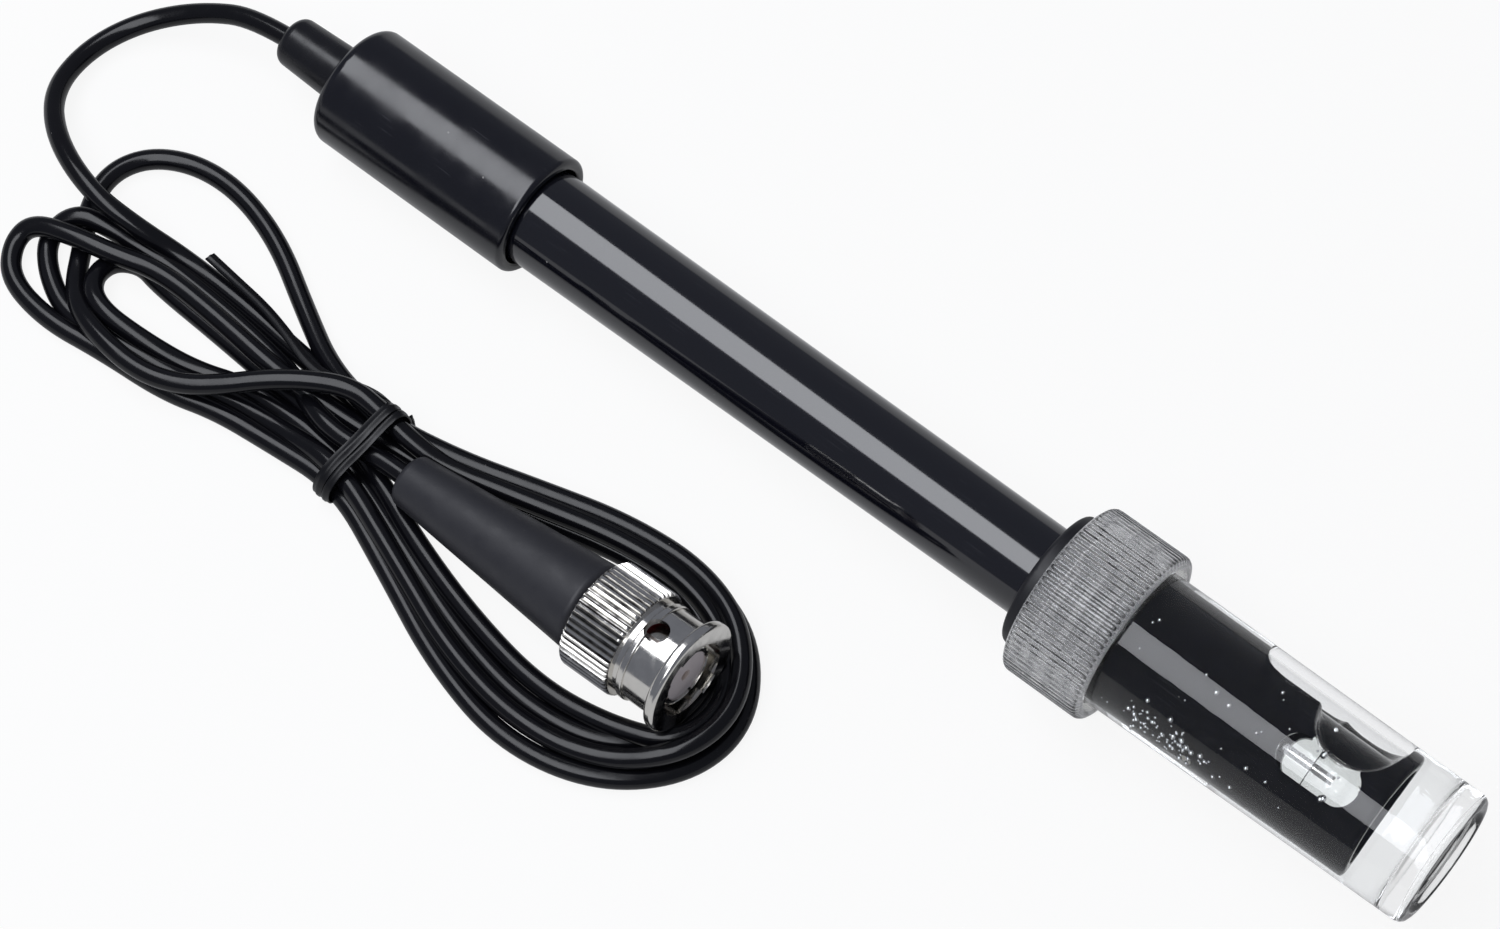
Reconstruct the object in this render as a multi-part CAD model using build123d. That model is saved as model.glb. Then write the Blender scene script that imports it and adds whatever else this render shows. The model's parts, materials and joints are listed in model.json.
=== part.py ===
from build123d import *

import math
import os

# A pH electrode lying on a bench, with its soaking bottle screwed on and its cable tied in a hank.
# Turned pieces of the electrode are drawn along X, from the handle's rear face at station 0 to the
# glass tip, and one Location then lays them on the bench. The plug has an axis and a Location of
# its own. All sizes are in millimetres and degrees.

# Fits between pieces
FIT_GAP = 0.03
RUNNING_GAP = 0.15
SEAT_GAP = 0.05

# Straight ribs: half widths at the root and at the crest, as shares of the pitch
RIB_ROOT = 0.42
RIB_CREST = 0.14

# Handle cap and cable gland
HANDLE_LENGTH = 30.5
HANDLE_DIAMETER = 16.1
HANDLE_REAR_ROUND = 1.3
HANDLE_LIP_ROUND = 0.7
HANDLE_REAR_WALL = 3.0
WIRING_SPACE = 6.0
WIRING_BORE = 10.0
SHAFT_SOCKET_GAP = 0.2
GLAND_LENGTH = 10.4
GLAND_BASE_DIAMETER = 7.3
GLAND_END_DIAMETER = 6.5
GLAND_END_ROUND = 1.3
GLAND_NECK_DIAMETER = 5.0
GLAND_FLANGE_DIAMETER = 7.0
GLAND_FLANGE = 1.2

# Electrode shaft with its glass bulb
ELECTRODE_LENGTH = 154.9
SHAFT_LIP_DIAMETER = 12.7
SHAFT_TIP_DIAMETER = 11.3
SHAFT_BORE = 8.8
SHAFT_TIP_ROUND = 0.8
GUARD_RING = 3.0
GUARD_WINDOW_LENGTH = 10.5
GUARD_WINDOW_WIDTH = 4.4
GUARD_WINDOW_TURN = 20.0
FRIT_TURN = 110.0
STEM_DIAMETER = 6.5
STEM_WALL = 0.7
BULB_DIAMETER = 8.2
BULB_WALL = 0.4
BULB_INSET = 2.6
BUNG_LENGTH = 6.0
STEM_SOCKET_DEPTH = 3.0
STEM_SEAL_LENGTH = 4.0
STEM_SEAL_INSET = 1.5
MEASURING_WIRE_DIAMETER = 0.8
REFERENCE_WIRE_DIAMETER = 0.6
REFERENCE_WIRE_ABOVE_FRIT = 8.4
WIRE_TAIL = 2.5
CORE_LEAD_DIAMETER = 1.4
FRIT_DIAMETER = 1.4
FRIT_ABOVE_SEAL = 3.0

# Soaking bottle, rubber bush and ribbed screw cap
TIP_TO_BOTTLE_END = 8.5
BOTTLE_BELOW_CAP = 43.4
BOTTLE_NECK_DIAMETER = 18.0
BOTTLE_END_DIAMETER = 17.3
BOTTLE_WALL = 1.2
BOTTLE_FLOOR = 3.4
BOTTLE_END_ROUND = 0.9
FOOT_RING_WIDTH = 1.7
FOOT_RING_DEPTH = 0.8
CAP_LENGTH = 11.0
CAP_WALL = 1.55
CAP_RIBS = 80
CAP_RIB_HEIGHT = 0.35
CAP_EDGE = 0.6
CAP_TOP = 2.0
THREAD_HEIGHT = 0.6
THREAD_PITCH = 2.5
THREAD_TURNS = 3
SEAL_COLLAR_DIAMETER = 17.7
SEAL_COLLAR = 1.9
SEAL_COLLAR_ROUND = 0.7
SEAL_NECK_DIAMETER = 15.0
SEAL_FLANGE = 1.2
SEAL_SPIGOT = 2.5
SEAL_SPIGOT_TAPER = 0.3

# Bayonet plug on the cable's far end
BOOT_LENGTH = 29.0
BOOT_REAR_DIAMETER = 6.6
BOOT_FRONT_DIAMETER = 11.6
BOOT_ROUND = 0.8
FERRULE_LENGTH = 14.0
FERRULE_DIAMETER = 6.0
SPIGOT_DIAMETER = 4.4
SPIGOT_LENGTH = 9.0
SLEEVE_SETBACK = 0.5
SLEEVE_LENGTH = 14.4
KNURL_LENGTH = 7.2
KNURL_DIAMETER = 14.1
KNURL_TEETH = 52
KNURL_DEPTH = 0.35
KNURL_EDGE = 0.5
BARREL_DIAMETER = 12.3
BEAD_DIAMETER = 12.9
BEAD_LENGTH = 0.9
BEAD_ROUND = 0.22
LIP_DIAMETER = 14.7
LIP_LENGTH = 1.4
LIP_ROUND = 0.46
SLEEVE_END_WALL = 1.4
SLEEVE_BORE = 9.9
SPRING_POCKET_DIAMETER = 11.6
SPRING_POCKET_LENGTH = 4.2
BAYONET_SLOT_WIDTH = 2.4
BAYONET_SLOT_TURN = 10.0
BAYONET_HOLE_DIAMETER = 3.0
BAYONET_SLANT = 45.0
BAYONET_SKIN = 0.5
BODY_COLLAR_DIAMETER = 8.9
CONTACT_DIAMETER = 8.1
CONTACT_WALL = 0.7
CONTACT_SETBACK = 0.8
CONTACT_SLIT = 0.4
CONTACT_SLITS = 4
INSULATOR_SETBACK = 1.0
PIN_DIAMETER = 1.4
PIN_SETBACK = 1.4
PIN_TIP_ROUND = 0.56
GASKET_LENGTH = 1.5
GASKET_DIAMETER = 9.5
RING_WIDTH = 0.8
RING_DIAMETER = 10.6
RING_GROOVE_DEPTH = 0.5
WASHER_THICKNESS = 0.4
PLUG_FRONT_POINT = (6.6, -35.3, 9.8)
PLUG_PITCH = 6.0

# Cable, hank and twist tie
CABLE_DIAMETER = 2.6
CABLE_IN_GLAND = 4.4
CABLE_PAST_GLAND = 5.0
CABLE_IN_BOOT = 8.0
CABLE_BEHIND_BOOT = 4.8
ARC_SHARE = 0.45
HANK_HEIGHT = 5.4
HANK_PLUG_GAP = 0.5
TIE_STATION = -44.0
TIE_WIDTH = 3.0
TIE_THICKNESS = 0.9
TIE_SIDES = (-42.3, -27.9)
TIE_ROUND = 2.0

# Cable from the gland to the hank: down to the bench, round to the left and over the slack loop
LEAD_ROUTE = [
    (-100.8, -2.2, 5.2),
    (-107.4, -7.6, 2.6),
    (-110.0, -15.4, 2.0),
    (-107.6, -23.2, 3.4),
    (-100.6, -28.2, 5.0),
    (-92.2, -30.6, 5.0),
    (-84.2, -30.4, 3.6),
]
# Slack loop that stands out of the hank's left end and comes back to the tie
SLACK_ROUTE = [
    (-90.6, -35.7, 1.4),
    (-94.0, -30.9, 1.4),
    (-95.2, -25.6, 1.4),
    (-92.9, -20.6, 1.4),
    (-87.4, -17.8, 1.4),
    (-80.4, -17.5, 1.4),
    (-72.0, -20.1, 1.4),
    (-63.2, -25.0, 1.4),
    (-54.6, -29.4, 1.4),
]
# Outer edge of the hank, seen from above
HANK_OUTLINE = [
    (-44.0, -28.7),
    (-34.0, -26.4),
    (-24.0, -23.4),
    (-14.0, -21.2),
    (-4.0, -21.2),
    (4.4, -23.8),
    (10.2, -28.6),
    (12.4, -35.2),
    (10.4, -42.2),
    (4.6, -49.0),
    (-4.0, -52.8),
    (-13.0, -53.4),
    (-23.0, -51.2),
    (-33.0, -46.8),
    (-44.0, -41.6),
    (-58.0, -43.0),
    (-72.0, -45.6),
    (-84.0, -46.8),
    (-93.0, -45.4),
    (-98.0, -41.0),
    (-97.0, -35.4),
    (-91.6, -30.4),
    (-81.0, -28.2),
    (-68.0, -27.6),
    (-56.0, -29.4),
]
HANK_RIGHT_OPENING = [
    (-36.0, -33.0),
    (-26.0, -29.4),
    (-14.0, -27.8),
    (-4.0, -27.4),
    (3.2, -29.4),
    (6.6, -34.4),
    (4.2, -40.6),
    (-4.0, -42.4),
    (-16.0, -41.6),
    (-29.0, -38.6),
]
HANK_LEFT_OPENING = [
    (-63.4, -36.4),
    (-70.6, -35.5),
    (-79.6, -35.1),
    (-84.4, -35.6),
    (-84.6, -37.6),
    (-80.6, -40.2),
    (-75.4, -41.0),
    (-68.4, -39.0),
]

# Stations worked out along the electrode
SHAFT_TOP = HANDLE_REAR_WALL + WIRING_SPACE
BUNG_END = SHAFT_TOP + BUNG_LENGTH
WINDOW_END = ELECTRODE_LENGTH - GUARD_RING
WINDOW_START = WINDOW_END - GUARD_WINDOW_LENGTH
STEM_SEAL_END = WINDOW_START - STEM_SEAL_INSET
STEM_SEAL_START = STEM_SEAL_END - STEM_SEAL_LENGTH
FRIT_STATION = STEM_SEAL_START - FRIT_ABOVE_SEAL
BULB_CENTRE = ELECTRODE_LENGTH - BULB_INSET - BULB_DIAMETER / 2
STEM_START = BUNG_END - STEM_SOCKET_DEPTH
REFERENCE_WIRE_OFFSET = (SHAFT_BORE + STEM_DIAMETER) / 4
BOTTLE_END = ELECTRODE_LENGTH + TIP_TO_BOTTLE_END
CAP_FRONT = BOTTLE_END - BOTTLE_BELOW_CAP
CAP_REAR = CAP_FRONT - CAP_LENGTH
SEAL_REAR = CAP_REAR - SEAL_COLLAR
BOTTLE_MOUTH = CAP_REAR + CAP_TOP + SEAL_FLANGE + 2 * SEAT_GAP
CAP_BORE = BOTTLE_NECK_DIAMETER + 2 * THREAD_HEIGHT + 2 * RUNNING_GAP
CAP_DIAMETER = CAP_BORE + 2 * CAP_WALL
MOUTH_BORE = BOTTLE_NECK_DIAMETER - 2 * BOTTLE_WALL
CAP_LIFT = THREAD_PITCH * THREAD_TURNS
CABLE_START = -GLAND_LENGTH + CABLE_IN_GLAND

# Stations worked out along the plug, from the boot's rear end
SLEEVE_REAR = BOOT_LENGTH + SLEEVE_SETBACK
SLEEVE_FRONT = SLEEVE_REAR + SLEEVE_LENGTH
KNURL_FRONT = SLEEVE_REAR + KNURL_LENGTH
LIP_REAR = SLEEVE_FRONT - LIP_LENGTH
POCKET_REAR = SLEEVE_REAR + SLEEVE_END_WALL
POCKET_FRONT = POCKET_REAR + SPRING_POCKET_LENGTH
RING_REAR = POCKET_FRONT - RING_WIDTH - 2 * RUNNING_GAP
COLLAR_FRONT = POCKET_FRONT + RUNNING_GAP
CONTACT_FRONT = SLEEVE_FRONT - CONTACT_SETBACK
INSULATOR_FRONT = SLEEVE_FRONT - INSULATOR_SETBACK
PIN_FRONT = SLEEVE_FRONT - PIN_SETBACK
CONTACT_BORE = CONTACT_DIAMETER - 2 * CONTACT_WALL
FERRULE_REAR = BOOT_LENGTH - FERRULE_LENGTH
SPIGOT_REAR = BOOT_LENGTH - SPIGOT_LENGTH


def shaft_radius(station):
    """Outside radius of the tapered shaft at a station."""
    share = (station - HANDLE_LENGTH) / (ELECTRODE_LENGTH - HANDLE_LENGTH)
    return (SHAFT_LIP_DIAMETER + share * (SHAFT_TIP_DIAMETER - SHAFT_LIP_DIAMETER)) / 2


def turned(*corners):
    """Solid of revolution about X from corners of (station, radius) or (station, radius, round)."""
    points = [corner[:2] for corner in corners]
    rounds = [corner[2] if len(corner) > 2 else 0 for corner in corners]
    if any(rounds):
        outline = FilletPolyline(*points, radius=rounds, close=True)
    else:
        outline = Polyline(*points, close=True)
    return revolve(make_face(outline), Axis.X)


def rod(start, end, diameter):
    """Plain round bar along X."""
    return turned((start, 0), (start, diameter / 2), (end, diameter / 2), (end, 0))


def pipe(start, end, outside, inside):
    """Plain round tube along X."""
    return turned((start, inside / 2), (start, outside / 2), (end, outside / 2), (end, inside / 2))


def ribbed_bar(start, end, diameter, depth, count):
    """Bar along X with straight ribs all round, one of them pointing straight down."""
    step = 360 / count
    crest = diameter / 2
    root = crest - depth
    outline = []
    for index in range(count):
        middle = -90 + index * step
        for radius, share in ((root, -RIB_ROOT), (crest, -RIB_CREST), (crest, RIB_CREST), (root, RIB_ROOT)):
            angle = math.radians(middle + share * step)
            outline.append((radius * math.cos(angle), radius * math.sin(angle)))
    profile = Plane.YZ.offset(start) * make_face(Polyline(*outline, close=True))
    return extrude(profile, end - start)


def bench_seat():
    """Location that lays the electrode on the bench, touching at the handle's and the cap's rear edges."""
    handle_reach = HANDLE_DIAMETER / 2 - HANDLE_REAR_ROUND
    cap_reach = CAP_DIAMETER / 2 - CAP_EDGE
    run = CAP_REAR + CAP_EDGE - HANDLE_REAR_ROUND
    rise = cap_reach - handle_reach
    tilt = math.atan2(rise, run) + math.asin((CAP_EDGE - HANDLE_REAR_ROUND) / math.hypot(run, rise))
    height = HANDLE_REAR_ROUND + handle_reach * math.cos(tilt) - HANDLE_REAR_ROUND * math.sin(tilt)
    middle = (BOTTLE_END - GLAND_LENGTH) / 2 * math.cos(tilt)
    return Location((-middle, 0, height), (0, -math.degrees(tilt), 0))


def plug_seat():
    """Location of the plug: along X in plan, with its front end propped up on the hank."""
    pitch = math.radians(PLUG_PITCH)
    x, y, z = PLUG_FRONT_POINT
    rear = (x - SLEEVE_FRONT * math.cos(pitch), y, z - SLEEVE_FRONT * math.sin(pitch))
    return Location(rear, (0, -PLUG_PITCH, 0))


BENCH = bench_seat()
PLUG = plug_seat()


# Electrode


def handle_cap():
    """Moulded cap over the shaft's top, with a wiring space and a hole for the gland."""
    outside = HANDLE_DIAMETER / 2
    socket = shaft_radius(SHAFT_TOP) + SHAFT_SOCKET_GAP
    hole = GLAND_NECK_DIAMETER / 2 + FIT_GAP
    return turned(
        (0, hole),
        (0, outside, HANDLE_REAR_ROUND),
        (HANDLE_LENGTH, outside, HANDLE_LIP_ROUND),
        (HANDLE_LENGTH, socket, HANDLE_LIP_ROUND / 2),
        (SHAFT_TOP, socket),
        (SHAFT_TOP, WIRING_BORE / 2),
        (HANDLE_REAR_WALL, WIRING_BORE / 2),
        (HANDLE_REAR_WALL, hole),
    )


def cable_gland():
    """Rubber strain relief, snapped through the handle's rear wall."""
    bore = CABLE_DIAMETER / 2 + FIT_GAP
    inner_end = HANDLE_REAR_WALL + GLAND_FLANGE
    return turned(
        (-GLAND_LENGTH, bore),
        (-GLAND_LENGTH, GLAND_END_DIAMETER / 2, GLAND_END_ROUND),
        (0, GLAND_BASE_DIAMETER / 2),
        (0, GLAND_NECK_DIAMETER / 2),
        (HANDLE_REAR_WALL, GLAND_NECK_DIAMETER / 2),
        (HANDLE_REAR_WALL, GLAND_FLANGE_DIAMETER / 2),
        (inner_end, GLAND_FLANGE_DIAMETER / 2),
        (inner_end, CORE_LEAD_DIAMETER / 2 + FIT_GAP),
        (CABLE_START, CORE_LEAD_DIAMETER / 2 + FIT_GAP),
        (CABLE_START, bore),
    )


def guard_direction():
    """Direction that the guard's front window faces."""
    turn = math.radians(GUARD_WINDOW_TURN)
    return (0, -math.sin(turn), math.cos(turn))


def frit_direction():
    """Direction of the liquid junction, a quarter turn from the windows."""
    turn = math.radians(FRIT_TURN)
    return (0, -math.sin(turn), math.cos(turn))


def shaft_tube():
    """Tapered tube that carries the glass stem, with two guard windows beside the bulb."""
    bore = SHAFT_BORE / 2
    tube = turned(
        (SHAFT_TOP, bore),
        (SHAFT_TOP, shaft_radius(SHAFT_TOP)),
        (ELECTRODE_LENGTH, shaft_radius(ELECTRODE_LENGTH), SHAFT_TIP_ROUND),
        (ELECTRODE_LENGTH, bore),
    )
    middle = (WINDOW_START + WINDOW_END) / 2
    window_plane = Plane(origin=(middle, 0, 0), x_dir=(1, 0, 0), z_dir=guard_direction())
    window = window_plane * SlotOverall(GUARD_WINDOW_LENGTH, GUARD_WINDOW_WIDTH)
    windows = extrude(window, SHAFT_LIP_DIAMETER, both=True)
    frit_plane = Plane(origin=(FRIT_STATION, 0, 0), x_dir=(1, 0, 0), z_dir=frit_direction())
    frit_hole = extrude(frit_plane * Circle(FRIT_DIAMETER / 2 + FIT_GAP), SHAFT_LIP_DIAMETER)
    return tube - windows - frit_hole


def junction_frit():
    """Porous ceramic pin through the shaft's wall, the reference's liquid junction."""
    plane = Plane(origin=(FRIT_STATION, 0, 0), x_dir=(1, 0, 0), z_dir=frit_direction())
    pin = extrude(plane * Circle(FRIT_DIAMETER / 2), SHAFT_LIP_DIAMETER)
    wall = turned(
        (SHAFT_TOP, SHAFT_BORE / 2),
        (SHAFT_TOP, shaft_radius(SHAFT_TOP)),
        (ELECTRODE_LENGTH, shaft_radius(ELECTRODE_LENGTH)),
        (ELECTRODE_LENGTH, SHAFT_BORE / 2),
    )
    return pin & wall


def glass_stem():
    """Blown glass tube with a thin round bulb at its tip, open at the top."""
    bulb = Pos(BULB_CENTRE, 0, 0) * Sphere(BULB_DIAMETER / 2)
    hollow = Pos(BULB_CENTRE, 0, 0) * Sphere(BULB_DIAMETER / 2 - BULB_WALL)
    outside = rod(STEM_START, BULB_CENTRE, STEM_DIAMETER) + bulb
    return outside - rod(STEM_START, BULB_CENTRE, STEM_DIAMETER - 2 * STEM_WALL) - hollow


def top_bung():
    """Bung that closes the shaft's top and holds the stem and both wires."""
    bung = rod(SHAFT_TOP, BUNG_END, SHAFT_BORE - 2 * FIT_GAP)
    bung -= rod(STEM_START, BUNG_END, STEM_DIAMETER + 2 * FIT_GAP)
    bung -= rod(SHAFT_TOP, STEM_START, MEASURING_WIRE_DIAMETER + 2 * FIT_GAP)
    wire_hole = rod(SHAFT_TOP, BUNG_END, REFERENCE_WIRE_DIAMETER + 2 * FIT_GAP)
    return bung - Pos(0, 0, REFERENCE_WIRE_OFFSET) * wire_hole


def stem_seal():
    """Rubber ring between the stem and the shaft, just above the guard windows."""
    return pipe(STEM_SEAL_START, STEM_SEAL_END, SHAFT_BORE - 2 * FIT_GAP, STEM_DIAMETER + 2 * FIT_GAP)


def measuring_wire():
    """Silver wire from the cable's core down the stem into the bulb."""
    return rod(SHAFT_TOP - WIRE_TAIL, BULB_CENTRE, MEASURING_WIRE_DIAMETER)


def reference_wire():
    """Silver wire beside the stem, in the reference chamber."""
    end = FRIT_STATION - REFERENCE_WIRE_ABOVE_FRIT
    wire = rod(SHAFT_TOP - WIRE_TAIL, end, REFERENCE_WIRE_DIAMETER)
    return Pos(0, 0, REFERENCE_WIRE_OFFSET) * wire


def core_lead():
    """Insulated core of the cable, from its end in the gland to the measuring wire."""
    return rod(CABLE_START, SHAFT_TOP - WIRE_TAIL, CORE_LEAD_DIAMETER)


# Soaking bottle


def soak_bottle():
    """Clear bottle with a plain neck, a thick floor and a ring to stand on."""
    end_radius = BOTTLE_END_DIAMETER / 2
    floor = BOTTLE_END - BOTTLE_FLOOR
    foot = BOTTLE_END - FOOT_RING_DEPTH
    return turned(
        (BOTTLE_MOUTH, MOUTH_BORE / 2),
        (BOTTLE_MOUTH, BOTTLE_NECK_DIAMETER / 2),
        (CAP_FRONT, BOTTLE_NECK_DIAMETER / 2),
        (BOTTLE_END, end_radius, BOTTLE_END_ROUND),
        (BOTTLE_END, end_radius - FOOT_RING_WIDTH),
        (foot, end_radius - FOOT_RING_WIDTH - FOOT_RING_DEPTH),
        (foot, 0),
        (floor, 0),
        (floor, end_radius - BOTTLE_WALL, BOTTLE_END_ROUND),
    )


def cap_seal():
    """Rubber bush, buttoned into the screw cap, that grips the shaft and closes the bottle's mouth."""
    bore = shaft_radius(SEAL_REAR - CAP_LIFT) + RUNNING_GAP
    neck = SEAL_NECK_DIAMETER / 2
    flange = (MOUTH_BORE + BOTTLE_WALL) / 2
    spigot = MOUTH_BORE / 2 - RUNNING_GAP
    cap_inside = CAP_REAR + CAP_TOP + SEAT_GAP
    mouth = BOTTLE_MOUTH - SEAT_GAP
    return turned(
        (SEAL_REAR, bore),
        (SEAL_REAR, SEAL_COLLAR_DIAMETER / 2, SEAL_COLLAR_ROUND),
        (CAP_REAR - SEAT_GAP, SEAL_COLLAR_DIAMETER / 2),
        (CAP_REAR - SEAT_GAP, neck),
        (cap_inside, neck),
        (cap_inside, flange),
        (mouth, flange),
        (mouth, spigot),
        (mouth + SEAL_SPIGOT, spigot - SEAL_SPIGOT_TAPER),
        (mouth + SEAL_SPIGOT, bore),
    )


def screw_cap():
    """Clear cap with fine straight ribs, a hole for the bush and a bore for the bottle's neck."""
    ribs = ribbed_bar(CAP_REAR, CAP_FRONT, CAP_DIAMETER, CAP_RIB_HEIGHT, CAP_RIBS)
    hole = SEAL_NECK_DIAMETER / 2 + RUNNING_GAP
    blank = turned(
        (CAP_REAR, hole),
        (CAP_REAR, CAP_DIAMETER / 2, CAP_EDGE),
        (CAP_FRONT, CAP_DIAMETER / 2, CAP_EDGE),
        (CAP_FRONT, CAP_BORE / 2),
        (CAP_REAR + CAP_TOP, CAP_BORE / 2),
        (CAP_REAR + CAP_TOP, hole),
    )
    return ribs & blank


# Plug


def plug_boot():
    """Tapered rubber boot over the crimped end of the cable."""
    cable_bore = CABLE_DIAMETER / 2 + FIT_GAP
    ferrule_bore = FERRULE_DIAMETER / 2 + FIT_GAP
    return turned(
        (0, cable_bore),
        (0, BOOT_REAR_DIAMETER / 2, BOOT_ROUND),
        (BOOT_LENGTH, BOOT_FRONT_DIAMETER / 2, BOOT_ROUND),
        (BOOT_LENGTH, ferrule_bore),
        (FERRULE_REAR, ferrule_bore),
        (FERRULE_REAR, cable_bore),
    )


def plug_ferrule():
    """Crimp ferrule round the body's spigot."""
    return pipe(FERRULE_REAR, BOOT_LENGTH, FERRULE_DIAMETER, SPIGOT_DIAMETER + 2 * FIT_GAP)


def plug_body():
    """Turned body: cable spigot, collar with a ring groove, and slit outer contact."""
    collar = BODY_COLLAR_DIAMETER / 2
    bore = CONTACT_BORE / 2
    core_bore = PIN_DIAMETER / 2 + FIT_GAP
    body = turned(
        (SPIGOT_REAR, core_bore),
        (SPIGOT_REAR, SPIGOT_DIAMETER / 2),
        (BOOT_LENGTH, SPIGOT_DIAMETER / 2),
        (BOOT_LENGTH, collar),
        (RING_REAR, collar),
        (RING_REAR, collar - RING_GROOVE_DEPTH),
        (RING_REAR + RING_WIDTH + 2 * FIT_GAP, collar - RING_GROOVE_DEPTH),
        (RING_REAR + RING_WIDTH + 2 * FIT_GAP, collar),
        (COLLAR_FRONT, collar),
        (COLLAR_FRONT, CONTACT_DIAMETER / 2),
        (CONTACT_FRONT, CONTACT_DIAMETER / 2, CONTACT_WALL / 2),
        (CONTACT_FRONT, bore),
        (POCKET_REAR, bore),
        (POCKET_REAR, core_bore),
    )
    slit_start = COLLAR_FRONT + GASKET_LENGTH
    slit_length = CONTACT_FRONT - slit_start
    for index in range(CONTACT_SLITS // 2):
        slit = Box(slit_length, CONTACT_SLIT, 2 * CONTACT_DIAMETER)
        turn = 360 / CONTACT_SLITS * index
        body -= Rot(turn, 0, 0) * Pos(slit_start + slit_length / 2, 0, 0) * slit
    return body


def plug_gasket():
    """Soft ring at the foot of the outer contact."""
    return pipe(COLLAR_FRONT, COLLAR_FRONT + GASKET_LENGTH, GASKET_DIAMETER, CONTACT_DIAMETER + 2 * FIT_GAP)


def plug_insulator():
    """White insulator between the outer contact and the pin."""
    return pipe(POCKET_REAR, INSULATOR_FRONT, CONTACT_BORE - 2 * FIT_GAP, PIN_DIAMETER + 2 * FIT_GAP)


def plug_pin():
    """Centre pin with a rounded tip."""
    radius = PIN_DIAMETER / 2
    start = SPIGOT_REAR
    return turned((start, 0), (start, radius), (PIN_FRONT, radius, PIN_TIP_ROUND), (PIN_FRONT, 0))


def retaining_ring():
    """Split ring in the body's groove that keeps the coupling sleeve on."""
    start = RING_REAR + FIT_GAP
    inside = BODY_COLLAR_DIAMETER - 2 * RING_GROOVE_DEPTH + 2 * FIT_GAP
    ring = pipe(start, start + RING_WIDTH, RING_DIAMETER, inside)
    gap = Box(2 * RING_WIDTH, RING_WIDTH, RING_DIAMETER / 2)
    return ring - Pos(start + RING_WIDTH / 2, 0, RING_DIAMETER / 2) * gap


def spring_washer():
    """Flat-lying spring washer behind the retaining ring."""
    end = RING_REAR
    return pipe(end - WASHER_THICKNESS, end, RING_DIAMETER, BODY_COLLAR_DIAMETER + 2 * FIT_GAP)


def coupling_sleeve():
    """Bayonet sleeve: knurled grip, bead, barrel with two cam grooves inside, and front lip."""
    bore = SLEEVE_BORE / 2
    barrel = BARREL_DIAMETER / 2
    rear_hole = BODY_COLLAR_DIAMETER / 2 + RUNNING_GAP
    knurl = ribbed_bar(SLEEVE_REAR, KNURL_FRONT, KNURL_DIAMETER, KNURL_DEPTH, KNURL_TEETH)
    knurl_blank = turned(
        (SLEEVE_REAR, 0),
        (SLEEVE_REAR, KNURL_DIAMETER / 2, KNURL_EDGE),
        (KNURL_FRONT, KNURL_DIAMETER / 2, KNURL_EDGE),
        (KNURL_FRONT, 0),
    )
    bead_rear = KNURL_FRONT + BEAD_LENGTH
    front = turned(
        (KNURL_FRONT, 0),
        (KNURL_FRONT, barrel),
        (bead_rear, barrel),
        (bead_rear, BEAD_DIAMETER / 2, BEAD_ROUND),
        (bead_rear + BEAD_LENGTH, BEAD_DIAMETER / 2, BEAD_ROUND),
        (bead_rear + BEAD_LENGTH, barrel),
        (LIP_REAR, barrel),
        (LIP_REAR, LIP_DIAMETER / 2, LIP_ROUND),
        (SLEEVE_FRONT, LIP_DIAMETER / 2, LIP_ROUND),
        (SLEEVE_FRONT, 0),
    )
    hollow = turned(
        (SLEEVE_REAR, 0),
        (SLEEVE_REAR, rear_hole),
        (POCKET_REAR, rear_hole),
        (POCKET_REAR, SPRING_POCKET_DIAMETER / 2),
        (POCKET_FRONT, SPRING_POCKET_DIAMETER / 2),
        (POCKET_FRONT, bore),
        (SLEEVE_FRONT, bore),
        (SLEEVE_FRONT, 0),
    )
    sleeve = (knurl & knurl_blank) + front - hollow
    for turn in (0, 180):
        sleeve -= Rot(turn + BAYONET_SLOT_TURN, 0, 0) * bayonet_slot()
    return sleeve


def bayonet_slot():
    """Cutter for one bayonet cam: entry channel and slanted groove under a skin, and round end hole."""
    barrel_middle = (KNURL_FRONT + 2 * BEAD_LENGTH + LIP_REAR) / 2
    side = Plane(origin=(barrel_middle, 0, 0), x_dir=(1, 0, 0), z_dir=(0, 0, 1))
    half_run = (LIP_REAR - KNURL_FRONT) / 2 - BAYONET_HOLE_DIAMETER / 2
    half_turn = half_run * math.tan(math.radians(BAYONET_SLANT))
    hole = side * Pos(-half_run, half_turn, 0) * Circle(BAYONET_HOLE_DIAMETER / 2)
    slot_length = 2 * math.hypot(half_run, half_turn)
    slot = side * Rot(0, 0, -BAYONET_SLANT) * SlotCenterToCenter(slot_length, BAYONET_SLOT_WIDTH)
    channel_length = SLEEVE_FRONT - barrel_middle - half_run
    channel = Box(channel_length, BAYONET_SLOT_WIDTH, LIP_DIAMETER / 2)
    place = Pos(SLEEVE_FRONT - channel_length / 2, -half_turn, LIP_DIAMETER / 4)
    groove_room = rod(SLEEVE_REAR, SLEEVE_FRONT, BARREL_DIAMETER - 2 * BAYONET_SKIN)
    groove = (extrude(slot, LIP_DIAMETER) + place * channel) & groove_room
    return groove + extrude(hole, LIP_DIAMETER)


# Cable


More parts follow.
